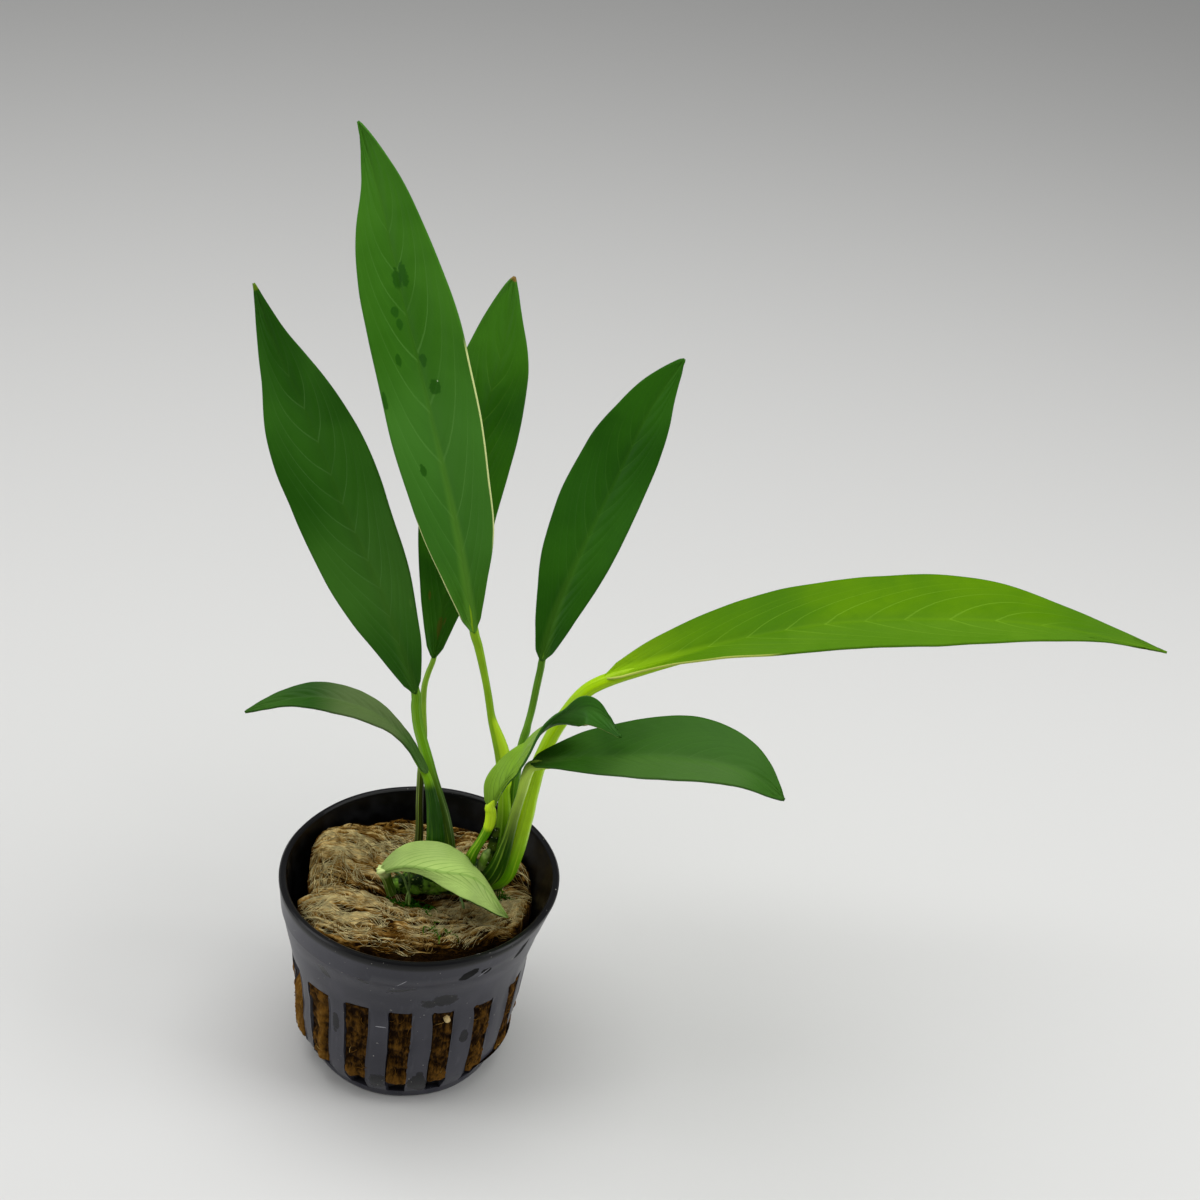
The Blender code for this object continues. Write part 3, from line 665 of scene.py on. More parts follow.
def wool_side(column, level):
    """Place and paleness of the wool's side at a column and a level."""
    slot, step = split_column(column)
    half = slot_half_angle(level, slot)
    swollen = slot % SLOT_COUNT in SWOLLEN_SLOTS
    size = abs(step)
    turns = [0.0, 0.34, 0.67, 0.95, 0.99, 1.08]
    turn = along([half * share for share in turns] + [SLOT_PITCH / 2], size / 6)
    angle = slot_turn(column, level) + math.copysign(turn, step)
    inside = wall_radius(level) - POT_WALL - WOOL_CLEAR
    if level > SLOT_TOP:
        flat = wool_edge(angle).xy - wall_lean(level).xy
        flat *= min(1.0, inside / flat.length)
        return Vector((*flat, level)) + wall_lean(level), 0.0
    lumps = noise.noise((angle / 3.2, level / 1.1, 4.0))
    lumps += noise.noise((angle / 9, level / 3.2, 9.0))
    fold = math.exp(-((step - 0.6) / 0.9) ** 2) if slot % SLOT_COUNT == FOLDED_SLOT else 0.0
    # The lumps and the fold are paler where they stand out: painted light.
    pale = 0.05 + 0.12 * lumps + 0.17 * min(1.0, max(0.0, (10.5 - level) / 4)) + 0.22 * fold
    crown = along([1.0, 1.0, 0.98, 0.9, 0.0, 0.0, 0.0], size / 6)
    ragged = 0.9 * noise.noise((angle / 5, 3.0, 8.0))
    ends = min(1.0, max(0.0, level - WOOL_BOTTOM + 0.2 + ragged) / 0.9,
               max(0.0, SLOT_TOP - level) / 0.4)
    reach = POT_WALL + slot_bulge(slot, level) + WOOL_CLEAR
    if swollen:
        reach *= 1 - 0.85 * min(1.0, max(0.0, (level - SWELL_END) / 2.5))
        pale += SWELL_PALE
    radius = inside + crown * reach * ends ** 0.5 + (0.4 * lumps + 0.5 * fold) * crown
    if level <= WOOL_BOTTOM:
        radius *= 0.95
        level += 0.6 * noise.noise((angle / 5, 1.0, 1.0))
    radius += 0.1 * noise.noise((angle / 1.2, level / 0.5, 2.0))
    lift = Vector((0, 0, slot_lift(column, level)))
    return beside_wall(radius, math.radians(angle), level) + lift, pale


def wool_finish():
    """Fibres that run along the torn layers, from nearly black to straw by paleness, which holds
    painted light and shade as well as the wool's tone.
    """
    finish = Finish("mineral_wool", roughness=0.95, shine=0.05)
    strand = finish.unwrapped("layers")
    along_strand = finish.stretch(3.6, 16.0, 1.0, strand)
    fine_strand = finish.stretch(8.0, 56.0, 1.0, strand)
    streak = finish.mottle(1.0, detail=4, vector=along_strand, distortion=0.35, roughness=0.6)
    hair = finish.mottle(1.0, detail=3, vector=fine_strand, distortion=0.25, roughness=0.6)
    grit = finish.mottle(1300, detail=3)
    fibres = finish.math("MULTIPLY_ADD", streak, 1.2, finish.math("MULTIPLY", hair, 1.1))
    fibres = finish.math("MULTIPLY_ADD", grit, 0.3, fibres)
    fibres = finish.math("MULTIPLY", finish.math("SUBTRACT", fibres, 1.3), finish.told("loose"))
    tone = finish.math("ADD", finish.told("pale"), fibres)
    colour = finish.blend(finish.between(tone, -0.05, 0.3), (28, 17, 3), (100, 70, 28))
    colour = finish.blend(finish.between(tone, 0.25, 0.6), colour, (148, 115, 60))
    colour = finish.blend(finish.between(tone, 0.55, 0.95), colour, (204, 178, 118))
    relief = finish.math("ADD", streak, finish.math("MULTIPLY", hair, 0.6))
    return finish.wear(colour, None, relief, depth=0.5, strength=0.9)


# The plug is spun as a drum, with the radius of its bottom, of its sides and of its top
# set well apart, and each point is then moved to its place
DRUM_BOTTOM, DRUM_SIDE, DRUM_TOP, DRUM_HEIGHT = 30.0, 50.0, 100.0, 200.0


def pack_wool():
    """The plug, with its paleness and looseness told in its vertices."""
    sides = [(DRUM_SIDE, level) for level in WOOL_LEVELS]
    top = [(DRUM_TOP * (1 - (ring / WOOL_TOP_RINGS) ** 1.12), DRUM_HEIGHT)
           for ring in range(WOOL_TOP_RINGS + 1)]
    bm = spin_outline([(0.0, WOOL_BOTTOM), (DRUM_BOTTOM, WOOL_BOTTOM - 0.01), *sides, *top])
    shown = [edge for edge in bm.edges if any(
        vert.co.xy.length > DRUM_SIDE - 10 or vert.co.z > DRUM_HEIGHT / 2 for vert in edge.verts)]
    bmesh.ops.subdivide_edges(bm, edges=shown, cuts=1, use_grid_fill=True)
    layers = bm.loops.layers.uv.new("layers")
    pale = bm.verts.layers.float.new("pale")
    loose = bm.verts.layers.float.new("loose")
    spots = {}
    for vert in bm.verts:
        level = min(vert.co.z, WOOL_LEVELS[-1])
        if vert.co.z > DRUM_HEIGHT - 1:
            angle = column_angle(column_of(vert.co), SLOT_HALF_TOP, SLOT_TOP)
            flat = wool_edge(angle).xy * (vert.co.xy.length / DRUM_TOP)
            height, _, vert[pale], layer = wool_place(*flat)
            vert[loose] = 1.0
            spots[vert] = (flat.x / 10, layer * 0.45)
            vert.co = Vector((*flat, height))
        elif vert.co.xy.length > DRUM_SIDE - 10:
            column = column_of(vert.co)
            vert.co, vert[pale] = wool_side(column, level)
            vert[loose] = SIDE_LOOSE
            spots[vert] = (column * 0.2, level / 72)
        else:
            vert.co = Vector((*(vert.co.xy * 0.5), WOOL_BOTTOM))
            spots[vert] = (vert.co.x / 10, vert.co.y / 10)
    for face in bm.faces:
        for loop in face.loops:
            loop[layers].uv = spots[loop.vert]
    bmesh.ops.recalc_face_normals(bm, faces=bm.faces)
    return add_piece("wool_body", bm, wool_finish(), sharp=180.0)


wool_body = pack_wool()
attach(wool_body, "root")
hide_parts("wool_plug")

# Loose strands
# Fibres of the wool, about as thin as a hair, in four shades from straw to dark brown.
# They lie in locks along the torn layers, fray out of the slots and hang over an edge
# at the left. Green threads of moss grow among them.

# shade: how it looks. locks: how many lie on top. frayed: how many stand out of the
# slots. hanging: how many locks hang over the edge. pale: how pale the wool is where
# the shade lies on it, from and to.
# The locks on top lie by paleness, which holds painted light, so pale strands gather on the crests
# and dark ones in the hollows: painted light and shade as well.
STRANDS = {
    "straw": dict(shade=(228, 212, 154), locks=260, frayed=0, hanging=22, pale=(0.5, 2.0)),
    "tan": dict(shade=(182, 150, 88), locks=110, frayed=16, hanging=22, pale=(0.3, 0.8)),
    "brown": dict(shade=(122, 86, 34), locks=70, frayed=90, hanging=0, pale=(0.15, 0.5)),
    "dark": dict(shade=(58, 40, 10), locks=50, frayed=90, hanging=0, pale=(-1.0, 0.2)),
}
STRANDS_IN_LOCK, STRANDS_HANGING = (5, 10), 3
STRAND_POINTS, FRAYED_POINTS, FEWEST_POINTS = 9, 5, 4
STRAND_RADIUS, MOSS_RADIUS = (0.03, 0.06), (0.06, 0.13)
# How long a strand's steps are, how high a flat and a loose one rise, how deep their ends
# are tucked in as a share of that, and how much a loose one curls at each step
STRIDE, HANGING_STRIDE = (0.4, 1.0), 0.75
FLAT_LIFT, LOOSE_LIFT, TUCK = 0.35, 1.1, 0.4
LOOSE_CURL = (0.25, 0.8)
FRAYED_LENGTH, MIDDLE_RADIUS = (1.0, 2.6), 24
# Where the hanging locks start, along x and along y, and the way that they lean
FRINGE = ((-21.5, -15.5), (2.5, 8.5), -117.0)
# Where strands curl up: x, y, reach along x and along y, and how often
CURLS = [(8.0, -5.5, 6.0, 3.5, 1.0), (18.5, -1.0, 3.0, 4.5, 1.0), (6.5, 13.0, 3.5, 3.0, 0.8),
         (5.0, -11.0, 5.0, 2.0, 0.6)]
# Where moss grows: x, y, spread along x and along y, and how many threads
MOSS_PLACES = [(-1.8, -2.0, 1.6, 0.5, 50), (0.4, -1.6, 1.0, 0.5, 20), (2.2, -6.0, 0.35, 1.5, 14),
               (5.6, -10.3, 1.1, 0.5, 12), (16.0, 3.9, 0.9, 0.5, 22)]
MOSS_SHADE = (58, 116, 20)
chance = random.Random(11)


def strand_finish(name, shade):
    """One shade, with darker stretches."""
    finish = Finish("strand_" + name, roughness=0.8, shine=0.03)
    darker = tuple(0.75 * part for part in shade)
    tone = finish.mottle(700, detail=2)
    return finish.wear(finish.blend(finish.between(tone, 0.3, 0.7), darker, shade))


def grain(x, y):
    """The direction in which the fibres run at a point: along the edge of their layer."""
    x, y = round(x), round(y)
    here = wool_place(x, y)[3]
    rise_x = wool_place(x + 1, y)[3] - here
    rise_y = wool_place(x, y + 1)[3] - here
    return math.atan2(rise_x, -rise_y)


def lay_strand(x, y, heading, curl, stride, lift, follow=True):
    """A strand that follows the wool's layers from a point, rising and dipping on its way."""
    points = []
    for step in range(STRAND_POINTS):
        height, share, _, _ = wool_place(x, y)
        if share > 1.0:
            break
        ends = min(step, STRAND_POINTS - 1 - step)
        points.append(Vector((x, y, height + lift * (ends - TUCK) / (4 - TUCK))))
        turn = heading + curl * step + 0.2 * noise.noise((x / 3, y / 3, lift * 20))
        if follow:
            turn += grain(x, y)
        x += stride * math.cos(turn)
        y += stride * math.sin(turn)
    return points


def comb_lock(x, y):
    """A lock of strands that lie almost side by side. Some are loose and curl up."""
    heading = chance.gauss(0, 0.24) + (math.pi if chance.random() < 0.5 else 0.0)
    curl = chance.gauss(0, 0.05)
    stride = chance.uniform(*STRIDE)
    loose = chance.random() < 0.03 + 0.5 * hills(CURLS, x, y)
    if loose:
        curl = chance.choice((-1, 1)) * chance.uniform(*LOOSE_CURL)
        stride *= 0.6
        heading += chance.gauss(0, 1.0)
    lock = []
    for _ in range(chance.randint(*STRANDS_IN_LOCK)):
        lift = chance.uniform(0.1, LOOSE_LIFT if loose else FLAT_LIFT)
        lock.append(lay_strand(x + chance.gauss(0, 0.5), y + chance.gauss(0, 0.5),
                               heading + chance.gauss(0, 0.08), curl + chance.gauss(0, 0.02),
                               stride * chance.uniform(0.8, 1.2), lift))
    return lock


def fringe_lock():
    """Strands that have come loose at the left and hang over the edge of their layer."""
    (left, right), (front, back), lean = FRINGE
    heading = math.radians(lean + chance.gauss(0, 22))
    x, y = chance.uniform(left, right), chance.uniform(front, back)
    return [lay_strand(x + chance.gauss(0, 0.3), y + chance.gauss(0, 0.3),
                       heading + chance.gauss(0, 0.12), chance.gauss(0, 0.1),
                       HANGING_STRIDE, chance.uniform(0.2, 0.9), follow=False)
            for _ in range(STRANDS_HANGING)]


def frayed_strand():
    """A lock of one short strand, which frays out of the wool in one of the slots."""
    slot = chance.randrange(SLOT_COUNT)
    level = chance.uniform(WOOL_BOTTOM + 0.8, SLOT_TOP - 1.2)
    angle = slot_turn(slot * SLOT_COLUMNS, level)
    angle += chance.uniform(-0.8, 0.8) * slot_half_angle(level, slot)
    lean = chance.uniform(0, math.tau)
    length = chance.uniform(*FRAYED_LENGTH)
    points = []
    for step in range(FRAYED_POINTS):
        along_strand = (step / (FRAYED_POINTS - 1) - 0.5) * length
        turn = math.radians(angle) + along_strand * math.cos(lean) / MIDDLE_RADIUS
        height = level + along_strand * math.sin(lean)
        radius = wall_radius(height) + slot_bulge(slot, height) - 0.1 + 0.2 * math.sin(step * 0.8)
        points.append(beside_wall(radius, turn, height))
        lean += chance.uniform(-0.3, 0.3)
    return [points]


def draw_strands(name, strands, thickness, finish):
    """All the strands of one shade, as one piece."""
    curve = bpy.data.curves.new(name, "CURVE")
    curve.dimensions = "3D"
    curve.bevel_depth = 1.0
    curve.bevel_resolution = 0
    curve.use_fill_caps = True
    for points in strands:
        if len(points) < FEWEST_POINTS:
            continue
        spline = curve.splines.new("POLY")
        spline.points.add(len(points) - 1)
        radius = chance.uniform(*thickness)
        for knot, place in zip(spline.points, points):
            knot.co = (*(place * MM), 1.0)
            knot.radius = radius * MM
        spline.use_smooth = True
    curve.materials.append(finish)
    piece = bpy.data.objects.new(name, curve)
    bpy.context.scene.collection.objects.link(piece)
    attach(piece, "root")
    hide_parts("wool_plug")
    return piece


def fray_wool(kind):
    """Every strand of one shade. Its locks lie where the wool is as pale as they need."""
    locks = [frayed_strand() for _ in range(kind["frayed"])]
    locks += [fringe_lock() for _ in range(kind["hanging"])]
    full = len(locks) + kind["locks"]
    low, high = kind["pale"]
    while len(locks) < full:
        flat = wool_edge(chance.uniform(0, 360)).xy * math.sqrt(chance.random()) * 0.985
        if low < wool_place(*flat)[2] < high:
            locks.append(comb_lock(*flat))
    return [points for lock in locks for points in lock]


for name, kind in STRANDS.items():
    strands = draw_strands("wool_strands_" + name, fray_wool(kind), STRAND_RADIUS,
                           strand_finish(name, kind["shade"]))


def moss_thread(moss_x, moss_y, reach_x, reach_y):
    """A short thread that leans any way, near the middle of a patch of moss."""
    x, y = moss_x + chance.gauss(0, reach_x), moss_y + chance.gauss(0, reach_y)
    lean, curl = chance.uniform(0, math.tau), chance.gauss(0, 0.5)
    stride, lift = chance.uniform(0.15, 0.4), chance.uniform(0.2, 1.4)
    return lay_strand(x, y, lean, curl, stride, lift, follow=False)


threads = [moss_thread(*patch) for *patch, count in MOSS_PLACES for _ in range(count)]
moss = draw_strands("moss_threads", threads, MOSS_RADIUS, strand_finish("moss", MOSS_SHADE))

# Pebble
# A small pale stone that came with the wool, under two millimetres across. The wool
# holds it against the top edge of a slot in front.

PEBBLE_SLOT, PEBBLE_LEVEL, PEBBLE_RADIUS = 1, 24.4, 0.72
PEBBLE_ASIDE, PEBBLE_SUNK = 1.5, 0.2
STONE_DARK, STONE_LIGHT = (150, 124, 74), (206, 184, 130)


def stone_finish():
    finish = Finish("stone", roughness=0.85)
    cloud = finish.mottle(900, detail=4)
    colour = finish.blend(finish.between(cloud, 0.3, 0.7), STONE_DARK, STONE_LIGHT)
    return finish.wear(colour, None, cloud, depth=0.15)


def caught_stone():
    """An uneven ball, set into the wool beside the slot's middle."""
    turn = math.radians(slot_turn(PEBBLE_SLOT * SLOT_COLUMNS, PEBBLE_LEVEL) + PEBBLE_ASIDE)
    place = beside_wall(wall_radius(PEBBLE_LEVEL) - PEBBLE_SUNK, turn, PEBBLE_LEVEL)
    bm = bmesh.new()
    bmesh.ops.create_icosphere(bm, subdivisions=3, radius=PEBBLE_RADIUS)
    for vert in bm.verts:
        vert.co = place + vert.co * (1 + 0.6 * noise.noise(vert.co * 1.3))
    return add_piece("slot_pebble", bm, stone_finish(), sharp=180.0)


stone = caught_stone()
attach(stone, "root")
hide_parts("wool_plug")

# Rhizome
# The plant's creeping stem, short, thick and fleshy. It lies on the wool from left to
# right, dark green, ringed where old leaves stood on it, with painted shade in the hollows
# of its skin and pale specks that are painted highlights.

RHIZOME_ROUTE = [
    (-5.5, 1.6, 36.4), (-3.0, 1.7, 37.2), (0.0, 1.6, 38.6), (3.0, 1.5, 39.4),
    (7.0, 1.5, 39.9), (11.0, 1.8, 40.5), (14.2, 2.1, 41.0), (16.6, 2.4, 41.4),
    (17.6, 2.5, 41.5),
]
RHIZOME_RADII = [1.6, 2.2, 2.9, 3.1, 3.0, 3.2, 3.6, 3.1, 1.6]
RHIZOME_STEPS = (90, 32)
SCAR_DEPTH, SCAR_PACE = 0.07, 34
LUMP_SIZE, WART_SIZE = 0.25, 0.22
# The hollow colour is painted shade and the pale speck colour a painted highlight.
PAINTED_HOLLOW_SHADE, MOSSY, PAINTED_GLINT = (24, 44, 6), (112, 158, 50), (150, 168, 90)


def heading_at(spine, index):
    """The way that a spine runs at one of its points."""
    return (spine[min(index + 1, len(spine) - 1)] - spine[max(index - 1, 0)]).normalized()


def square_to(ahead, wanted):
    """The direction square to the way ahead that is nearest to the wanted one."""
    return (wanted - ahead * wanted.dot(ahead)).normalized()


def grow_stem(route, steps, section, facing=Vector((0, -1, 0))):
    """A closed stem along a route in mm. section gives the radius at t and at a turn,
    where a turn of 0 faces the given direction."""
    length_steps, round_steps = steps
    spine = smooth_route(route, length_steps + 1)
    bm = bmesh.new()
    bm.loops.layers.uv.new("stem")
    bmesh.ops.create_grid(bm, x_segments=length_steps, y_segments=round_steps, size=1.0,
                          calc_uvs=True)
    for vert in bm.verts:
        row = round((vert.co.x + 1) / 2 * length_steps)
        turn = (vert.co.y + 1) * math.pi
        ahead = heading_at(spine, row)
        out = square_to(ahead, facing)
        side = ahead.cross(out)
        radius = section(row / length_steps, turn)
        vert.co = spine[row] + (out * math.cos(turn) + side * math.sin(turn)) * radius
    bmesh.ops.remove_doubles(bm, verts=bm.verts, dist=0.0005)
    ends = [edge for edge in bm.edges if edge.is_boundary]
    bmesh.ops.holes_fill(bm, edges=ends, sides=0)
    bmesh.ops.recalc_face_normals(bm, faces=bm.faces)
    return bm


def rhizome_section(t, turn):
    """The stem's radius, with rounded ends, the rings of old leaves, lumps and warts."""
    ends = min(1.0, (t + 0.012) / 0.05, (1.006 - t) / 0.03)
    radius = smooth_along(RHIZOME_RADII, t) * math.sqrt(max(0.0, ends))
    scars = SCAR_DEPTH * abs(math.sin(t * SCAR_PACE + 0.6 * math.sin(turn))) ** 0.5
    lumps = LUMP_SIZE * noise.noise((t * 12, 1.3 * math.cos(turn), 1.3 * math.sin(turn)))
    warts = WART_SIZE * noise.noise((t * 34, 3.6 * math.cos(turn), 3.6 * math.sin(turn)))
    return radius * (1 - SCAR_DEPTH + scars) + lumps + warts


def rhizome_finish():
    finish = Finish("rhizome_skin", shine=0.1)
    cloud = finish.mottle(420, detail=4)
    speck = finish.between(finish.mottle(1500, detail=1), 0.62, 0.72)
    # Painted shade where the relief is low, and painted highlights as pale specks.
    colour = finish.blend(finish.between(cloud, 0.46, 0.66), PAINTED_HOLLOW_SHADE, MOSSY)
    colour = finish.blend(finish.math("MULTIPLY", speck, 0.6), colour, PAINTED_GLINT)
    return finish.wear(colour, finish.between(cloud, 0.3, 0.7, 0.4, 0.6), cloud, depth=0.5,
                       strength=0.8)


rhizome_body = grow_stem(RHIZOME_ROUTE, RHIZOME_STEPS, rhizome_section, Vector((0, 0, 1)))
rhizome = add_piece("rhizome_stem", rhizome_body, rhizome_finish())
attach(rhizome, "root")
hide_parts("rhizome")

# Blades
# Each leaf's flat part: a waxy sheet under half a millimetre thick. Along its midrib
# the upper face is grooved, pale side veins arch from the midrib to the margin, and
# the leaf bulges softly between them. The underside is paler.

BLADE_WALL = 0.45
BASE_ROUND = 0.035
GROOVE_DEPTH, PILLOW_HEIGHT = 0.32, 0.045
# How far the side veins slant towards the tip, and how much more they do at the margin
VEIN_SLANT, VEIN_BOW = 1.25, 2.3
# From here the blade closes to its tip
TIP_START = 0.9

# spine: the midrib, from base to tip. faces: where the upper face looks, from base to
# tip. spin: a further turn about the midrib. fold: how far the halves rise from the
# midrib (left_fold: the left half, where it differs). steps: how many along and across.
# right and left: half widths at eleven even steps, seen on the upper face with the tip
# up. right_veins and left_veins: where the veins leave the midrib, from 0 at the base
# to 1 at the tip, on a leaf without even ones. ripple: how wavy the leaf is. seed:
# which waves it has.
EVEN_VEINS = [0.05, 0.12, 0.19, 0.26, 0.33, 0.40, 0.47, 0.54, 0.62, 0.70, 0.78]
BLADES = {
    "tall": dict(
        spine=[(6.9, 13, 89.5), (2.5, 18, 107.5), (-5, 27, 129.5), (-12, 36, 147.5),
               (-17, 43, 162), (-22, 48, 174)],
        faces=[(0, -1, 0.2), (0, -1, 0.4)], fold=[14], steps=(170, 40),
        right=[0.9, 4.0, 7.2, 8.4, 9.4, 9.7, 9.9, 8.8, 6.8, 4.2, 0.3],
        left=[0.9, 3.8, 6.3, 7.5, 8.2, 8.1, 7.8, 7.3, 5.7, 2.3, 0.3],
        right_veins=[0.03, 0.09, 0.16, 0.225, 0.34, 0.45, 0.55, 0.63, 0.71, 0.78],
        left_veins=[0.05, 0.145, 0.23, 0.34, 0.44, 0.54, 0.63, 0.71, 0.79],
        ripple=0.35, seed=1),
    "left": dict(
        spine=[(-3.5, 13, 74.5), (-11.5, 19, 93), (-19.5, 25, 106.5), (-28, 32, 122),
               (-35, 37, 133.5), (-39.5, 40, 144)],
        faces=[(0.1, -1, 0.2), (0.1, -1, 0.4)], fold=[14], steps=(150, 40),
        right=[0.9, 4.0, 5.6, 7.2, 8.2, 8.9, 8.6, 7.1, 5.0, 2.5, 0.3],
        left=[0.9, 3.9, 7.0, 8.8, 9.2, 9.3, 9.4, 8.1, 4.9, 2.3, 0.5],
        ripple=0.3, seed=2),
    "back": dict(
        spine=[(-1, 20, 78.5), (1, 28, 96), (4.5, 43, 120.5), (6.5, 49, 129.5),
               (7.5, 58, 142.5)],
        faces=[(0, -1, 0.2), (0, -1, 0.4)], fold=[13], steps=(140, 36),
        right=[0.9, 2.9, 5.0, 6.2, 6.6, 7.1, 7.4, 6.9, 5.2, 2.7, 0.5],
        left=[0.9, 3.5, 5.6, 7.5, 8.6, 9.1, 9.0, 8.2, 6.8, 4.3, 0.3],
        ripple=0.3, seed=3),
    "right": dict(
        spine=[(20, 12, 85.5), (22, 15, 95.5), (26, 20, 107), (31, 27, 118.5),
               (35.5, 32, 129.5), (41, 36, 139)],
        faces=[(-0.1, -1, 0.2), (-0.1, -1, 0.5)], fold=[13], steps=(130, 36),
        right=[0.9, 3.2, 4.8, 5.9, 6.4, 6.4, 6.2, 5.9, 4.9, 2.6, 0.3],
        left=[1.1, 2.9, 4.7, 6.7, 7.8, 8.5, 8.3, 7.7, 5.8, 3.8, 0.6],
        ripple=0.2, seed=4),
    "long": dict(
        spine=[(32, 5, 88), (44, 8, 92), (59.5, 11, 96.5), (76, 13, 100),
               (99, 14, 102.5), (114.5, 13, 103), (134, 10, 102)],
        faces=[(0, -0.3, 1), (0, -0.1, 1)], fold=[6], steps=(180, 40),
        right=[1.2, 1.7, 3.8, 6.2, 7.4, 7.9, 8.1, 7.1, 4.2, 1.0, 0.3],
        left=[1.1, 4.6, 7.1, 8.8, 9.7, 10.7, 11.1, 9.7, 6.4, 3.2, 0.3],
        ripple=0.3, seed=5),
    "low": dict(
        spine=[(19.9, -5.2, 74.4), (22.5, -6, 75.7), (32.5, -9, 80), (45, -13, 84.5),
               (57.5, -17, 86), (65.5, -20, 82.5)],
        faces=[(0.1, -0.4, 1)], fold=[5], steps=(120, 36),
        right=[0.9, 1.9, 3.2, 4.3, 5.0, 5.6, 5.5, 4.9, 4.3, 2.8, 0.3],
        left=[0.9, 3.4, 5.5, 6.5, 7.5, 8.3, 8.7, 8.0, 6.3, 3.5, 0.5],
        ripple=0.2, seed=6),
    "young": dict(
        spine=[(13, -2.5, 61.5), (15.2, -3.5, 67.2), (17.7, -4.5, 73), (20.4, -5.5, 79.3),
               (23, -6.5, 84.2), (26, -7.5, 87.8), (29.5, -8.7, 90), (33, -9.6, 88.8),
               (36, -10, 85.5)],
        faces=[(0.75, 0.6, -0.2), (0.6, 0.1, -0.4), (0.3, -0.6, 0.5), (0.2, -0.8, 0.6)],
        fold=[2], spin=[60, -5, 29, -10], steps=(110, 28),
        right=[0.9, 3.3, 3.9, 4.4, 4.6, 4.4, 4.0, 3.5, 3.1, 2.1, 0.3],
        left=[0.9, 0.6, 0.8, 1.8, 2.4, 2.2, 1.4, 1.0, 2.3, 0.8, 0.3],
        ripple=0.1, seed=7),
    "arching": dict(
        spine=[(0.4, 3.6, 63.2), (-4.2, 4, 70.6), (-10, 3.5, 76), (-18.5, 2.5, 79),
               (-25.5, 1, 79), (-33.5, -1, 76.5)],
        faces=[(0, -0.4, 1), (0, -0.3, 1)], fold=[12], steps=(110, 24),
        right=[0.8, 0.9, 1.2, 1.6, 2.4, 3.0, 3.1, 2.9, 2.2, 1.4, 0.3],
        left=[0.8, 0.9, 1.3, 2.0, 3.1, 3.5, 3.8, 3.2, 1.9, 1.0, 0.2],
        ripple=0.1, seed=8),
    "front": dict(
        spine=[(-7, -2.5, 43.4), (-1.8, -5, 47.2), (5, -7.5, 48.6), (11.6, -8, 47.8),
               (18, -6.5, 38.3)],
        faces=[(0, 0.5, -1)], fold=[38, 55, 60], left_fold=[0, -5, -10, -20],
        spin=[75, 44, 7, 6], steps=(110, 32),
        right=[0.9, 2.8, 4.6, 5.9, 6.7, 6.9, 6.7, 5.9, 4.6, 2.8, 0.3],
        left=[0.5, 0.6, 0.95, 1.3, 1.95, 3.3, 4.4, 4.0, 2.9, 1.8, 0.3],
        ripple=0.1, seed=9),
}


def half_width(widths, t):
    """Half width in mm at t. The base and the last tenth close in a rounded end."""
    if t < TIP_START:
        return smooth_along(widths, t) * min(1.0, math.sqrt(t / BASE_ROUND) + 0.12)
    power = min(1.3, max(0.5, (widths[-3] - widths[-1]) / (2 * widths[-2])))
    return max(widths[-2] * (10 * (1 - t)) ** power, 0.02)


def vein_phase(veins, slope, t, across):
    """Whole numbers on the side veins, and halves midway between them."""
    spread = abs(across)
    start = t - slope * (VEIN_SLANT * spread + VEIN_BOW * spread ** 3)
    places = [veins[0] - 0.07, *veins, veins[-1] + 0.08, veins[-1] + 0.16]
    for index, (low, high) in enumerate(zip(places, places[1:])):
        if start < high or index == len(places) - 2:
            return index + (start - low) / (high - low)


def blade_relief(leaf, t, across, distance, phase):
    """Height of the upper face above the smooth leaf, in mm."""
    groove = -GROOVE_DEPTH * (1 - 0.8 * t) * math.exp(-(distance / (1.5 - 0.9 * t)) ** 2)
    inner = min(1.0, abs(across) / 0.2) * (1 - abs(across) ** 4)
    pillow = -PILLOW_HEIGHT * math.cos(math.tau * phase) * inner
    seed = leaf["seed"] * 7.0
    wave = leaf["ripple"] * noise.noise((t * 5, 1.4 * across, seed)) * (0.4 + abs(across))
    edge = 0.5 * leaf["ripple"] * abs(across) ** 6 * noise.noise((t * 16, across, seed + 3))
    return groove + pillow + wave + edge


def blade_frames(leaf, count):
    """Midrib point, side and up directions at each even step from base to tip."""
    spine = smooth_route(leaf["spine"], count + 1)
    frames = []
    for index, centre in enumerate(spine):
        t = index / count
        ahead = heading_at(spine, index)
        up = square_to(ahead, along([Vector(face) for face in leaf["faces"]], t))
        up.rotate(Matrix.Rotation(math.radians(along(leaf.get("spin", [0]), t)), 3, ahead))
        frames.append((centre, ahead.cross(up), up))
    return frames


def grow_blade(leaf):
    """A blade as a sheet of even steps, with its veins told in two vertex values."""
    length_steps, width_steps = leaf["steps"]
    frames = blade_frames(leaf, length_steps)
    length = running_length([centre for centre, _, _ in frames])[-1]
    slope = max(*leaf["right"], *leaf["left"]) / length
    bm = bmesh.new()
    bm.loops.layers.uv.new("blade")
    rib = bm.verts.layers.float.new("rib")
    vein = bm.verts.layers.float.new("vein")
    bmesh.ops.create_grid(bm, x_segments=length_steps, y_segments=width_steps, size=1.0,
                          calc_uvs=True)
    for vert in bm.verts:
        row = round((vert.co.x + 1) / 2 * length_steps)
        t = row / length_steps
        across = vert.co.y
        centre, side, up = frames[row]
        hand = "right" if across > 0 else "left"
        fold = math.radians(along(leaf.get(hand + "_fold", leaf["fold"]), t))
        reach = half_width(leaf[hand], t) * abs(across)
        phase = vein_phase(leaf.get(hand + "_veins", EVEN_VEINS), slope, t, across)
        vert[rib] = reach
        vert[vein] = phase
        rise = reach * math.sin(fold) + blade_relief(leaf, t, across, reach, phase)
        vert.co = centre + side * math.copysign(reach * math.cos(fold), across) + up * rise
    bmesh.ops.reverse_faces(bm, faces=bm.faces)
    return bm


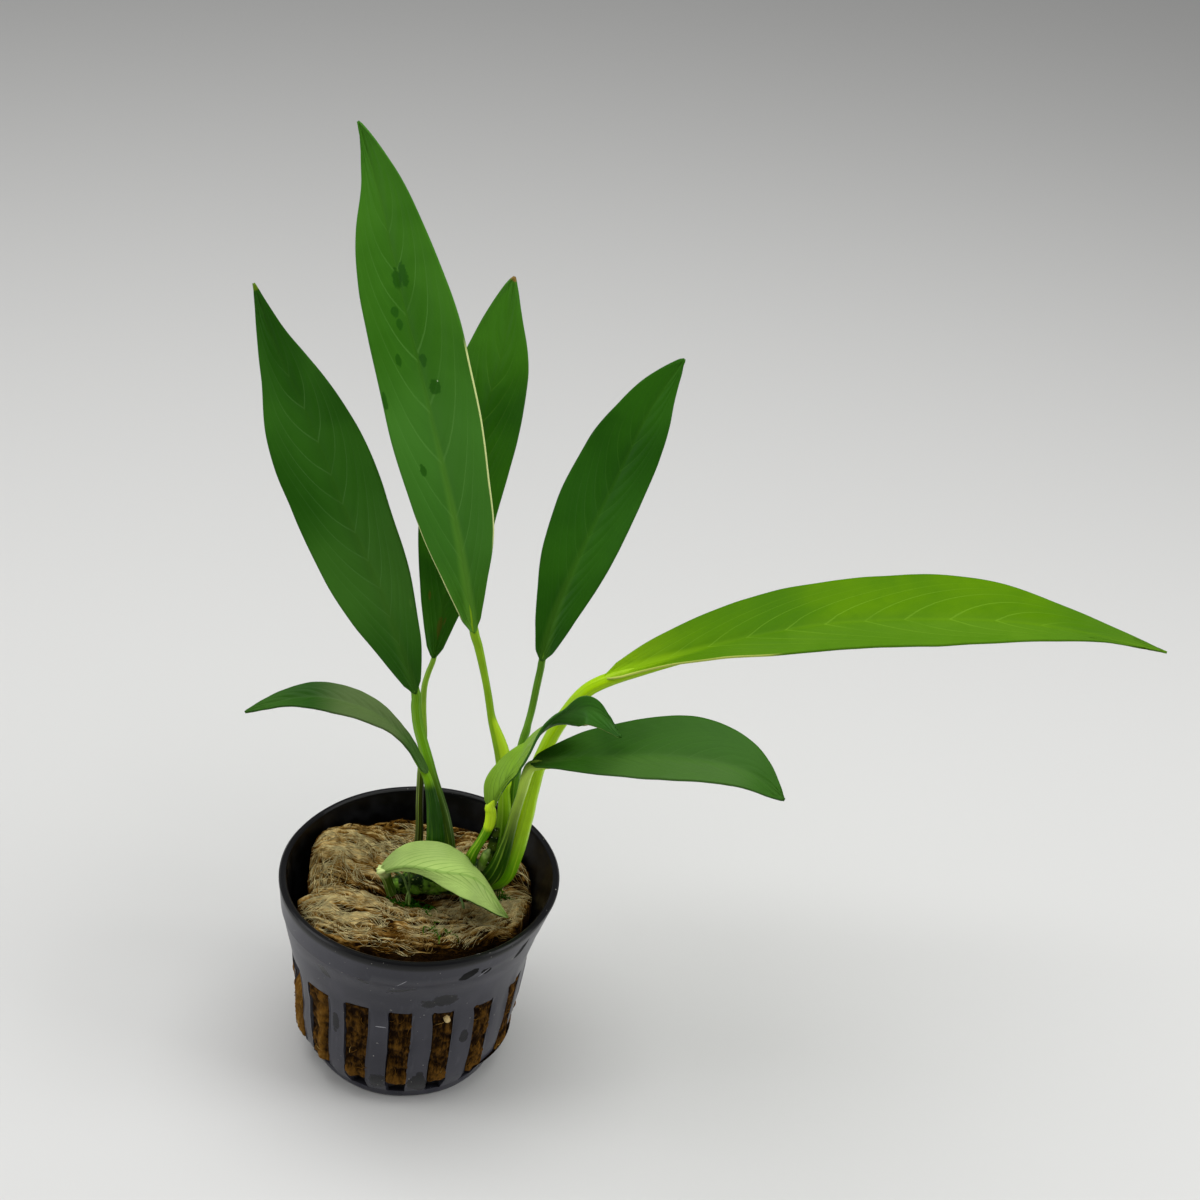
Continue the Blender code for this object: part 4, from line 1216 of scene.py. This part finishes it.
def leaf_finish(name, dark, light, vein, rib, rib_end=0.6, rib_amount=0.8, vein_strength=0.3,
                margins=(), tints_and_sheens=(), blotches=0.0, spots=(), shine=0.1):
    """The upper face of a blade: greens that run with its veins, tints and painted sheen, veins,
    midrib and marks.
    """
    finish = Finish(name, shine=shine)
    t, across, _ = finish.split(finish.unwrapped("blade"))
    spread = finish.math("ABSOLUTE", finish.math("MULTIPLY_ADD", across, 2.0, -1.0))
    phase = finish.told("vein")
    flow = finish.join(finish.math("MULTIPLY", phase, 3.0), spread,
                       finish.math("GREATER_THAN", across, 0.5))
    streak = finish.mottle(1.6, detail=5, vector=flow, roughness=0.6)
    cloud = finish.mottle(45, detail=3, distortion=0.4)
    cells = finish.mottle(1500, detail=3)
    colour = finish.blend(finish.between(cloud, 0.32, 0.68), dark, light)
    # Tints of the leaf's own, and painted sheen: the lamps' soft reflection on the blade.
    for tint, half, start, end, amount in tints_and_sheens:
        mask = finish.window(t, start, end, ZONE_SOFTNESS)
        if half:
            ends = (0.0, 1.0) if half > 0 else (1.0, 0.0)
            mask = finish.math("MULTIPLY", mask, finish.between(across, 0.38, 0.62, *ends))
        uneven = finish.between(cloud, 0.3, 0.7, 0.75 * amount, amount)
        colour = finish.blend(finish.math("MULTIPLY", mask, uneven), colour, tint)
    colour = finish.blend(finish.between(streak, 0.5, 0.75, 0.0, 0.25), colour, light)
    colour = finish.blend(finish.between(streak, 0.48, 0.25, 0.0, 0.2), colour, dark)
    if blotches:
        patch = finish.between(finish.mottle(230, detail=3, distortion=0.6), 0.5, 0.66)
        colour = finish.blend(finish.math("MULTIPLY", patch, blotches), colour, dark)
    wobble = finish.math("MULTIPLY_ADD", cells, 0.06, -0.03)
    near = finish.math("PINGPONG", finish.math("ADD", phase, wobble), 0.5)
    line = finish.between(near, 0.01, 0.055, 1.0, 0.0)
    fade = finish.math("MULTIPLY", finish.between(spread, 0.5, 0.95, 1.0, 0.15),
                       finish.between(t, 0.7, 0.95, 1.0, 0.0))
    fade = finish.math("MULTIPLY", fade, finish.between(streak, 0.3, 0.6, 0.45, 1.0))
    line = finish.math("MULTIPLY", line, fade)
    colour = finish.blend(finish.math("MULTIPLY", line, vein_strength), colour, vein)
    rib_width = finish.between(t, 0.0, rib_end + 0.2, 1.2, 0.5)
    rib_place = finish.math("DIVIDE", finish.told("rib"), rib_width)
    rib_line = finish.between(rib_place, 0.3, 1.3, 1.0, 0.0)
    rib_fade = finish.between(t, 0.0, rib_end + 0.15, rib_amount, 0.06)
    colour = finish.blend(finish.math("MULTIPLY", rib_line, rib_fade), colour, rib)
    for spot_t, spot_across, reach_t, reach_across, shade in spots:
        far = finish.far(
            finish.math("DIVIDE", finish.math("SUBTRACT", t, spot_t), reach_t),
            finish.math("DIVIDE", finish.math("SUBTRACT", across, spot_across), reach_across))
        far = finish.math("MULTIPLY_ADD", cells, 0.9, far)
        colour = finish.blend(finish.between(far, 1.2, 1.5, 0.8, 0.0), colour, shade)
    for tint, side, start, end in margins:
        edge = finish.between(finish.math("MULTIPLY_ADD", across, 2.0 * side, -side), 0.973, 0.986)
        reach = finish.window(t, start, end, MARGIN_SOFTNESS)
        colour = finish.blend(finish.math("MULTIPLY", edge, reach), colour, tint)
    relief = finish.math("ADD", finish.math("MULTIPLY", streak, 0.5),
                         finish.math("MULTIPLY", cells, 0.3))
    relief = finish.math("SUBTRACT", relief, finish.math("MULTIPLY", line, 0.4))
    rough = finish.between(cloud, 0.3, 0.7, 0.41, 0.53)
    return finish.wear(colour, rough, relief)


def underside_finish(name, base, vein):
    """The pale underside, with its veins and midrib a little darker."""
    finish = Finish(name, shine=0.12)
    phase = finish.told("vein")
    cloud = finish.mottle(150, detail=3)
    cells = finish.mottle(1800, detail=2)
    pale = tuple(part * 1.25 ** (1 / SCREEN_GAMMA) for part in base)
    colour = finish.blend(finish.between(cloud, 0.3, 0.7), base, pale)
    line = finish.between(finish.math("PINGPONG", phase, 0.5), 0.015, 0.06, 0.85, 0.0)
    colour = finish.blend(line, colour, vein)
    fine = finish.math("PINGPONG", finish.math("MULTIPLY_ADD", phase, 6.0, cloud), 0.5)
    colour = finish.blend(finish.between(fine, 0.05, 0.35, 0.16, 0.0), colour, vein)
    midrib = finish.between(finish.told("rib"), 0.14, 0.34, 0.5, 0.0)
    colour = finish.blend(midrib, colour, vein)
    return finish.wear(colour, finish.between(cloud, 0.3, 0.7, 0.42, 0.52),
                       finish.math("ADD", line, cells))


ZONE_SOFTNESS, MARGIN_SOFTNESS = 0.1, 0.02
WET, DRY_SPECK, BROWNED = (32, 78, 6), (186, 196, 170), (74, 80, 18)

# dark and light: the two greens of the upper face. rib_end and rib_amount: how far up
# the midrib is pale, and how pale it is. margins: shade, side (1 right, -1 left), start
# and end. tints_and_sheens: shade, half (1 right, -1 left, 0 both), start, end and
# amount; some are the leaf's own tints and some are painted sheen, the lamps' soft
# reflection on the blade, as said at each leaf. spots: place along and across the leaf,
# reach along and across it, and shade.
UPPER_FACES = {
    "tall": dict(
        dark=(50, 98, 20), light=(62, 113, 28), vein=(100, 148, 70), rib=(92, 142, 46),
        rib_end=0.45, rib_amount=0.7, vein_strength=0.26,
        margins=[((190, 200, 130), 1, 0.175, 0.545), ((190, 200, 130), -1, 0.04, 0.24)],
        # The first of these is a painted sheen; the second is the leaf's own olive at the base.
        tints_and_sheens=[((66, 116, 46), 0, 0.12, 0.5, 0.5), ((70, 112, 14), 0, -0.2, 0.04, 0.6)],
        spots=[(0.7, 0.49, 0.022, 0.06, WET), (0.705, 0.58, 0.026, 0.05, WET),
               (0.64, 0.375, 0.012, 0.05, WET), (0.615, 0.4, 0.012, 0.04, WET),
               (0.55, 0.2875, 0.014, 0.04, WET), (0.54, 0.5625, 0.014, 0.04, WET),
               (0.485, 0.6125, 0.016, 0.06, WET), (0.48, 0.03, 0.02, 0.03, WET),
               (0.335, 0.2625, 0.014, 0.04, WET), (0.495, 0.65, 0.002, 0.006, DRY_SPECK)]),
    "left": dict(
        dark=(34, 76, 10), light=(46, 92, 20), vein=(90, 132, 70), rib=(70, 112, 36),
        rib_end=0.5, rib_amount=0.3, vein_strength=0.26,
        # The first of these is a painted sheen; the second is the leaf's own dark base.
        tints_and_sheens=[((62, 106, 36), 0, 0.16, 0.42, 0.75), ((34, 71, 6), 0, -0.2, 0.06, 0.7)],
        spots=[(0.21, 0.925, 0.012, 0.02, (70, 108, 40)),
               (1.0, 0.5, 0.02, 0.8, (96, 124, 24))]),
    "back": dict(
        dark=(30, 71, 4), light=(48, 97, 10), vein=(84, 126, 40), rib=(66, 110, 28),
        rib_amount=0.2, vein_strength=0.22, tints_and_sheens=[((56, 104, 16), 0, 0.72, 1.2, 0.7)],
        spots=[(0.16, 0.175, 0.012, 0.03, BROWNED), (0.08, 0.5, 0.03, 0.1, BROWNED),
               (0.1, 0.65, 0.012, 0.04, BROWNED), (1.0, 0.5, 0.014, 0.8, (124, 90, 46))]),
    "right": dict(
        dark=(30, 72, 6), light=(43, 91, 12), vein=(70, 118, 36), rib=(84, 130, 40),
        rib_end=0.4, rib_amount=0.35, vein_strength=0.18,
        # This is a painted sheen.
        tints_and_sheens=[((46, 92, 22), 0, 0.3, 0.7, 0.3)]),
    "long": dict(
        dark=(66, 109, 0), light=(84, 125, 3), vein=(122, 164, 50), rib=(128, 170, 20),
        rib_end=0.1, vein_strength=0.3, blotches=0.2, shine=0.03,
        margins=[((176, 190, 90), 1, 0.0, 0.3)],
        tints_and_sheens=[((84, 124, 30), 1, 0.2, 0.9, 0.7), ((124, 160, 16), 0, -0.2, 0.1, 0.85),
               ((76, 112, 34), 0, 0.86, 1.2, 0.7)]),
    "low": dict(
        dark=(32, 70, 8), light=(50, 90, 24), vein=(88, 124, 66), rib=(70, 108, 40),
        rib_end=0.1, vein_strength=0.16,
        # The second of these, on the right half, is a painted sheen.
        tints_and_sheens=[((52, 92, 26), 0, 0.4, 1.2, 0.7), ((72, 106, 46), 1, 0.3, 0.84, 0.7)]),
    "young": dict(
        dark=(44, 88, 26), light=(58, 104, 34), vein=(98, 134, 76), rib=(90, 124, 62),
        # Its margin line, on the right from the middle to the tip, is a painted sheen along the
        # crest.
        rib_end=0.3, vein_strength=0.15, margins=[((150, 150, 96), 1, 0.6, 1.0)]),
    "arching": dict(
        dark=(28, 64, 8), light=(50, 88, 26), vein=(84, 118, 60), rib=(76, 110, 50),
        # Its zone is a painted sheen.
        rib_end=0.25, vein_strength=0.12, tints_and_sheens=[((92, 110, 66), 0, 0.2, 0.62, 0.85)]),
    "front": dict(
        dark=(40, 84, 14), light=(66, 116, 34), vein=(110, 150, 80), rib=(96, 140, 52)),
}
PALE_UNDERSIDE = underside_finish("leaf_underside", (124, 158, 74), (98, 136, 54))
UNDERSIDES = {
    "front": underside_finish("leaf_underside_lime", (150, 176, 96), (96, 134, 46)),
    "young": underside_finish("leaf_underside_young", (112, 150, 42), (84, 122, 28)),
}

for key, leaf in BLADES.items():
    upper = leaf_finish("leaf_" + key, **UPPER_FACES[key])
    under = UNDERSIDES.get(key, PALE_UNDERSIDE)
    blade = add_piece("leaf_" + key, grow_blade(leaf), upper, under, sharp=180.0)
    wall = blade.modifiers.new("wall", "SOLIDIFY")
    wall.thickness = BLADE_WALL * MM
    wall.offset = 0.0
    wall.material_offset = 1
    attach(blade, "root")
    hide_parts("blade_" + key)

# Petioles
# The fleshy stalks of the leaves. Each is widest where it clasps the rhizome, is
# slightly grooved on its upper side, and runs on under its blade as the midrib.

# route: from inside the rhizome up to the blade. radii: at even steps along it. wing: a
# thin flange on one side, with its direction from the front, where it starts and ends,
# and how far it stands out. ridges: how deep the lengthwise ribs are. rib: the midrib's
# radius, where the blade's underside shows. turns: where the foot's colour starts and
# ends its change into the upper one.
NO_WING = (0, 0.0, 0.0, 0.0)
PETIOLES = {
    "tall": dict(
        route=[(12.6, 2.8, 41.5), (14.6, 3.6, 45.2), (15.3, 4.6, 48.6), (15.4, 5.6, 53.0),
               (15.1, 6.5, 57.6), (14.4, 7.4, 61.8), (13.5, 8.4, 65.9), (12.5, 9.2, 69.3),
               (11.5, 10.0, 72.5), (10.4, 11.4, 77.3), (9.1, 12.6, 82.2), (7.8, 13.7, 86.5)],
        radii=[2.2, 1.95, 1.6, 1.35, 1.15, 1.0, 0.9, 0.75, 0.7, 0.7, 0.78, 0.87],
        wing=(80, 0.36, 0.67, 1.15), ridges=0.05, turns=(0.14, 0.34)),
    "left": dict(
        route=[(5.2, 1.4, 41.0), (4.9, 2.0, 44.9), (4.4, 3.2, 48.3), (3.2, 4.7, 53.3),
               (1.7, 6.1, 57.7), (-0.5, 8.9, 63.4), (-2.5, 11.3, 68.4), (-3.3, 12.9, 71.8)],
        radii=[2.1, 1.75, 1.45, 1.25, 1.1, 1.0, 0.95, 0.9], wing=(70, 0.15, 0.55, 0.3),
        ridges=0.11, turns=(0.4, 0.72)),
    "back": dict(
        route=[(-0.5, 1.4, 40.7), (-0.6, 2.4, 45.4), (-0.7, 3.9, 49.3), (-1.1, 6.0, 54.1),
               (-1.4, 8.9, 58.6), (-1.5, 11.3, 61.6), (-1.6, 13.5, 65.0), (-2.2, 16.2, 69.0),
               (-2.4, 18.2, 72.6), (-1.9, 19.6, 75.2)],
        radii=[1.2, 0.9, 0.75, 0.72, 0.7, 0.66, 0.62, 0.58, 0.55, 0.5], wing=NO_WING,
        ridges=0.08, turns=(0.35, 0.75)),
    "right": dict(
        route=[(15.6, 3.8, 42.2), (16.8, 5.0, 45.6), (17.1, 6.4, 50.6), (17.0, 7.2, 58.5),
               (17.3, 8.2, 66.1), (17.8, 8.9, 69.7), (18.3, 9.4, 71.9), (18.9, 10.7, 75.1),
               (19.5, 12.2, 80.1), (19.9, 12.9, 83.2)],
        radii=[1.6, 1.3, 1.05, 0.95, 0.85, 0.72, 0.68, 0.68, 0.68, 0.68],
        wing=(80, 0.63, 0.7, 0.25), ridges=0.06, turns=(0.02, 0.55)),
    "long": dict(
        route=[(12.4, 0.6, 41.8), (14.8, 0.6, 42.0), (16.5, 0.7, 43.9), (17.3, 1.1, 46.7),
               (18.0, 1.4, 50.2), (18.7, 1.7, 53.9), (19.4, 1.9, 57.5), (20.2, 2.2, 62.9),
               (21.4, 2.6, 68.9), (24.0, 3.4, 76.5), (28.1, 4.3, 83.8)],
        radii=[2.3, 2.3, 2.1, 1.75, 1.5, 1.4, 1.35, 1.3, 1.3, 1.3], wing=(75, 0.16, 0.62, 0.3),
        ridges=0.05, turns=(0.1, 0.36)),
    "low": dict(
        route=[(11.6, 0.4, 41.2), (13.6, -0.2, 42.8), (15.0, -0.8, 46.0), (16.0, -1.5, 50.0),
               (17.0, -2.3, 55.6), (17.9, -3.0, 61.5), (18.8, -3.7, 66.5), (19.5, -4.5, 71.2)],
        radii=[2.2, 1.9, 1.5, 1.15, 0.95, 0.9, 0.88, 1.0, 1.05], wing=(65, 0.1, 0.8, 0.2),
        ridges=0.04, turns=(0.35, 0.95)),
    "young": dict(
        route=[(8.2, 1.0, 40.8), (9.2, 0.4, 44.0), (10.5, -0.5, 48.8), (12.0, -1.4, 53.0),
               (12.8, -1.7, 55.4), (13.2, -2.0, 57.8), (13.2, -2.3, 60.2)],
        radii=[1.8, 1.4, 0.98, 0.87, 0.92, 1.05, 0.95], wing=(-80, 0.1, 0.5, 0.3), ridges=0.05,
        rib=0.3, turns=(0.7, 0.78)),
    "arching": dict(
        route=[(2.6, -0.1, 41.4), (2.6, 0.4, 46.9), (2.4, 1.2, 51.8), (1.7, 2.3, 56.9),
               (0.8, 3.2, 60.9)],
        radii=[2.0, 1.75, 1.5, 1.25, 0.95, 0.78], wing=(90, 0.1, 0.9, 0.4), ridges=0.09,
        turns=(0.84, 0.93)),
    "front": dict(
        route=[(-5.1, -0.6, 36.6), (-5.6, -1.0, 38.8), (-6.2, -1.8, 41.6), (-7.0, -2.2, 43.5)],
        radii=[1.0, 1.0, 0.95, 1.0, 1.1, 0.9], wing=NO_WING, ridges=0.03,
        rib=0.22, turns=(0.68, 0.82)),
}
# The pale lines on the stalks, how many of them run round one, and the wing's colour
LINE_STRETCH, LINE_COUNT = 2.5, 16.0
SHADOW, LIME_WING = (30, 60, 6), (176, 212, 40)
WIDE_WING, WING_SOFTNESS = 0.5, 0.02
RIDGES_ROUND = 7
# How much of the blade the midrib runs under, in how many steps
RIB_RUN, RIB_STEPS = 0.7, 40
PETIOLE_STEPS = (130, 28)


def petiole_finish(name, low, high, edge, joint, turns, wing):
    """One colour at the foot and another above, pale lengthwise lines, and a lime wing."""
    finish = Finish(name, shine=0.14)
    t, turn, _ = finish.split(finish.unwrapped("stem"))
    lines = finish.join(finish.math("MULTIPLY", t, LINE_STRETCH),
                        finish.math("MULTIPLY", turn, LINE_COUNT))
    streak = finish.mottle(1.0, detail=4, vector=lines, roughness=0.65)
    cloud = finish.mottle(160, detail=3)
    colour = finish.blend(finish.between(t, joint * turns[0], joint * turns[1]), low, high)
    shade = finish.blend(0.6, colour, SHADOW, "MULTIPLY")
    colour = finish.blend(finish.between(cloud, 0.4, 0.7, 0.0, 0.3), colour, shade)
    colour = finish.blend(finish.between(streak, 0.5, 0.36, 0.0, 0.35), colour, shade)
    colour = finish.blend(finish.between(streak, 0.52, 0.66, 0.0, 0.6), colour, edge)
    direction, start, end, size = wing
    if size > WIDE_WING:
        off = finish.math("ABSOLUTE", finish.math("SUBTRACT", turn, direction / 360))
        reach = finish.window(t, joint * (start + WING_SOFTNESS), joint * (end - WING_SOFTNESS),
                              joint * WING_SOFTNESS)
        mask = finish.math("MULTIPLY", finish.between(off, 0.14, 0.22, 0.85, 0.0), reach)
        colour = finish.blend(mask, colour, LIME_WING)
    rough = finish.between(cloud, 0.3, 0.7, 0.34, 0.44)
    return finish.wear(colour, rough, streak, depth=0.15)


# The stalks' colours: at the foot, above, and of the pale lines
PALE_LINE = (140, 172, 60)
STALK_SHADES = {
    "tall": ((66, 108, 6), (126, 168, 26), PALE_LINE),
    "left": ((58, 84, 18), (100, 150, 25), PALE_LINE),
    "back": ((58, 66, 16), (126, 166, 46), PALE_LINE),
    "right": ((34, 76, 4), (84, 130, 30), PALE_LINE),
    "long": ((88, 142, 6), (152, 194, 8), (172, 206, 50)),
    "low": ((38, 70, 6), (178, 212, 80), PALE_LINE),
    "young": ((86, 144, 10), (196, 234, 36), (200, 220, 80)),
    "arching": ((36, 74, 4), (104, 150, 16), (76, 112, 30)),
    "front": ((92, 128, 36), (212, 230, 146), (212, 228, 150)),
}


def grow_petiole(key, petiole):
    """The petiole, and the rib that it becomes under its blade, as one tapering stem."""
    frames = blade_frames(BLADES[key], RIB_STEPS)
    end = petiole["radii"][-1]
    midrib = petiole.get("rib", end)
    behind = 0.2 + 0.85 * end if midrib == end else 0.1 + 0.5 * midrib
    rib = [centre - up * behind for centre, _, up in frames[:int(RIB_RUN * RIB_STEPS):3]]
    route = [Vector(point) for point in petiole["route"]] + rib
    reach = running_length(route)
    joint = reach[len(petiole["route"])] / reach[-1]
    direction, wing_start, wing_end, wing_size = petiole["wing"]

    def section(t, turn):
        if t < joint:
            u = t / joint
            radius = smooth_along(petiole["radii"], u)
            swell = max(0.0, math.cos(turn - math.radians(direction))) ** 5
            if wing_start < u < wing_end:
                place = (u - wing_start) / (wing_end - wing_start)
                radius += wing_size * swell * math.sin(math.pi * place ** 0.7)
            radius *= 1 + petiole["ridges"] * math.cos(RIDGES_ROUND * turn + 2 * u)
        else:
            u = (t - joint) / (1 - joint)
            radius = (midrib + (end - midrib) * max(0.0, 1 - u / 0.08)) * (1 - 0.9 * u)
        uneven = noise.noise((t * 30, math.cos(turn), math.sin(turn) + end * 9))
        return radius * (1 + 0.03 * uneven)

    return grow_stem(route, PETIOLE_STEPS, section), joint


for key, petiole in PETIOLES.items():
    stem, joint = grow_petiole(key, petiole)
    skin = petiole_finish("petiole_" + key, *STALK_SHADES[key], joint, petiole["turns"],
                          petiole["wing"])
    stalk = add_piece("stalk_" + key, stem, skin, sharp=60.0)
    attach(stalk, "root")
    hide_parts("petiole_" + key)

# Roots and bud
# Short live roots that leave the rhizome's underside and enter the wool, and a small
# pale resting bud between the stalks.

ROOTS = [
    [(-4.7, -0.6, 42.1), (-2.9, -1.6, 41.6), (-1.9, -2.4, 39.7), (-1.3, -3.0, 38.3),
     (-1.3, -3.6, 36.6)],
    [(-1.9, -1.2, 42.7), (-1.5, -2.0, 40.4), (-1.8, -2.8, 37.9), (-1.9, -3.2, 36.6)],
    [(8.5, -2.6, 38.6), (9.2, -3.8, 38.0), (9.6, -4.6, 36.6)],
]
ROOT_RADIUS, ROOT_STEPS = 0.25, (24, 12)
BUD_RADIUS, BUD_STEPS = 1.05, (24, 16)
BUD = [(12.2, 0.2, 44.6), (12.5, -0.5, 47.0), (12.9, -1.2, 49.2), (13.5, -1.4, 50.4)]


def fresh_finish(name, low, high):
    """Soft new growth, clouded with two greens."""
    finish = Finish(name)
    cloud = finish.mottle(500, detail=3)
    colour = finish.blend(finish.between(cloud, 0.35, 0.65), low, high)
    return finish.wear(colour, finish.between(cloud, 0.3, 0.7, 0.4, 0.55), cloud)


def root_section(t, _turn):
    return ROOT_RADIUS + 0.03 * math.sin(t * 17)


def bud_section(t, _turn):
    return BUD_RADIUS * math.sqrt(max(0.0, 1 - t ** 2.4)) + 0.02


root_finish = fresh_finish("root_green", (64, 96, 28), (120, 150, 70))
for number, points in enumerate(ROOTS, start=1):
    root = add_piece(f"live_root_{number}", grow_stem(points, ROOT_STEPS, root_section),
                     root_finish)
    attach(root, "root")
    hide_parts(f"root_{number}")

bud = add_piece("resting_bud", grow_stem(BUD, BUD_STEPS, bud_section),
                fresh_finish("bud_green", (92, 124, 40), (144, 170, 88)))
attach(bud, "root")
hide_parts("bud")

# Old leaf sheath
# What is left of an old leaf: a thin dark scale, mottled green and brown, with dry pale
# specks, which stands on the rhizome between the stalks.

SHEATH = [(13.2, -1.1, 46.0), (13.6, -1.2, 49.0), (14.1, -1.0, 52.4), (14.7, -0.8, 55.2)]
SHEATH_HALF, SHEATH_WALL, SHEATH_STEPS = 0.75, 0.14, (30, 20)
SHEATH_DARK, SHEATH_LIGHT, DRY_FLECK = (26, 44, 8), (70, 88, 22), (196, 200, 180)


def sheath_section(t, turn):
    """A flat ellipse, widest a little below the middle."""
    half = SHEATH_HALF * math.sqrt(max(0.0, 1 - (2 * t - 0.9) ** 2 / 1.3)) + SHEATH_WALL
    return half * SHEATH_WALL / math.hypot(SHEATH_WALL * math.sin(turn), half * math.cos(turn))


def sheath_finish():
    finish = Finish("old_sheath", shine=0.08)
    cloud = finish.mottle(700, detail=3)
    speck = finish.between(finish.mottle(2600, detail=1), 0.66, 0.74)
    colour = finish.blend(finish.between(cloud, 0.35, 0.65), SHEATH_DARK, SHEATH_LIGHT)
    colour = finish.blend(speck, colour, DRY_FLECK)
    return finish.wear(colour, None, cloud)


old_sheath = add_piece("old_sheath_scale", grow_stem(SHEATH, SHEATH_STEPS, sheath_section),
                       sheath_finish())
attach(old_sheath, "root")
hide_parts("rhizome")

# Floor, light and camera
# A plain pale floor, two soft boxes at the sides and one above, and a camera where the
# photograph was taken from.

CAMERA_PLACE = Vector((29.8, -326.3, 309.1))
CAMERA_RIGHT = Vector((0.9953, 0.0508, 0.0823))
CAMERA_UP = Vector((-0.0967, 0.5230, 0.8468))
LENS, SENSOR = 64.74, 36.0
FLOOR_HALF = 1500.0
FLOOR_COLOUR = (0.62, 0.62, 0.61, 1.0)
LIGHT_TARGET = Vector((0, 10, 80))
WORLD_LIGHT = 0.28


def lay_floor():
    bm = bmesh.new()
    bmesh.ops.create_grid(bm, x_segments=2, y_segments=2, size=FLOOR_HALF)
    finish = Finish("floor", roughness=0.8)
    finish.shader.inputs["Base Color"].default_value = FLOOR_COLOUR
    return add_piece("floor", bm, finish.material)


lay_floor()


def hang_light(name, place, size, power):
    """A soft box of a width and a height in mm, which faces the plant."""
    light = bpy.data.lights.new(name, "AREA")
    light.shape = "RECTANGLE"
    light.size, light.size_y = size[0] * MM, size[1] * MM
    light.energy = power
    lamp = bpy.data.objects.new(name, light)
    lamp.location = Vector(place) * MM
    lamp.rotation_euler = (LIGHT_TARGET - Vector(place)).to_track_quat("-Z", "Y").to_euler()
    bpy.context.scene.collection.objects.link(lamp)


hang_light("soft_box_above", (0, 60, 620), (700, 500), 3.4)
hang_light("soft_box_left", (-560, -120, 260), (300, 500), 1.5)
hang_light("soft_box_right", (560, -80, 260), (300, 500), 1.8)

world = bpy.data.worlds.new("studio")
world.use_nodes = True
background = world.node_tree.nodes["Background"]
background.inputs["Color"].default_value = (1.0, 1.0, 1.0, 1.0)
background.inputs["Strength"].default_value = WORLD_LIGHT
bpy.context.scene.world = world
bpy.context.scene.view_settings.view_transform = "Standard"

camera_data = bpy.data.cameras.new("camera")
camera_data.lens = LENS
camera_data.sensor_width = SENSOR
camera_data.clip_start = 0.01
camera = bpy.data.objects.new("camera", camera_data)
backward = CAMERA_RIGHT.cross(CAMERA_UP)
axes = Matrix((CAMERA_RIGHT, CAMERA_UP, backward)).transposed()
camera.matrix_world = Matrix.Translation(CAMERA_PLACE * MM) @ axes.to_4x4()
bpy.context.scene.collection.objects.link(camera)
bpy.context.scene.camera = camera
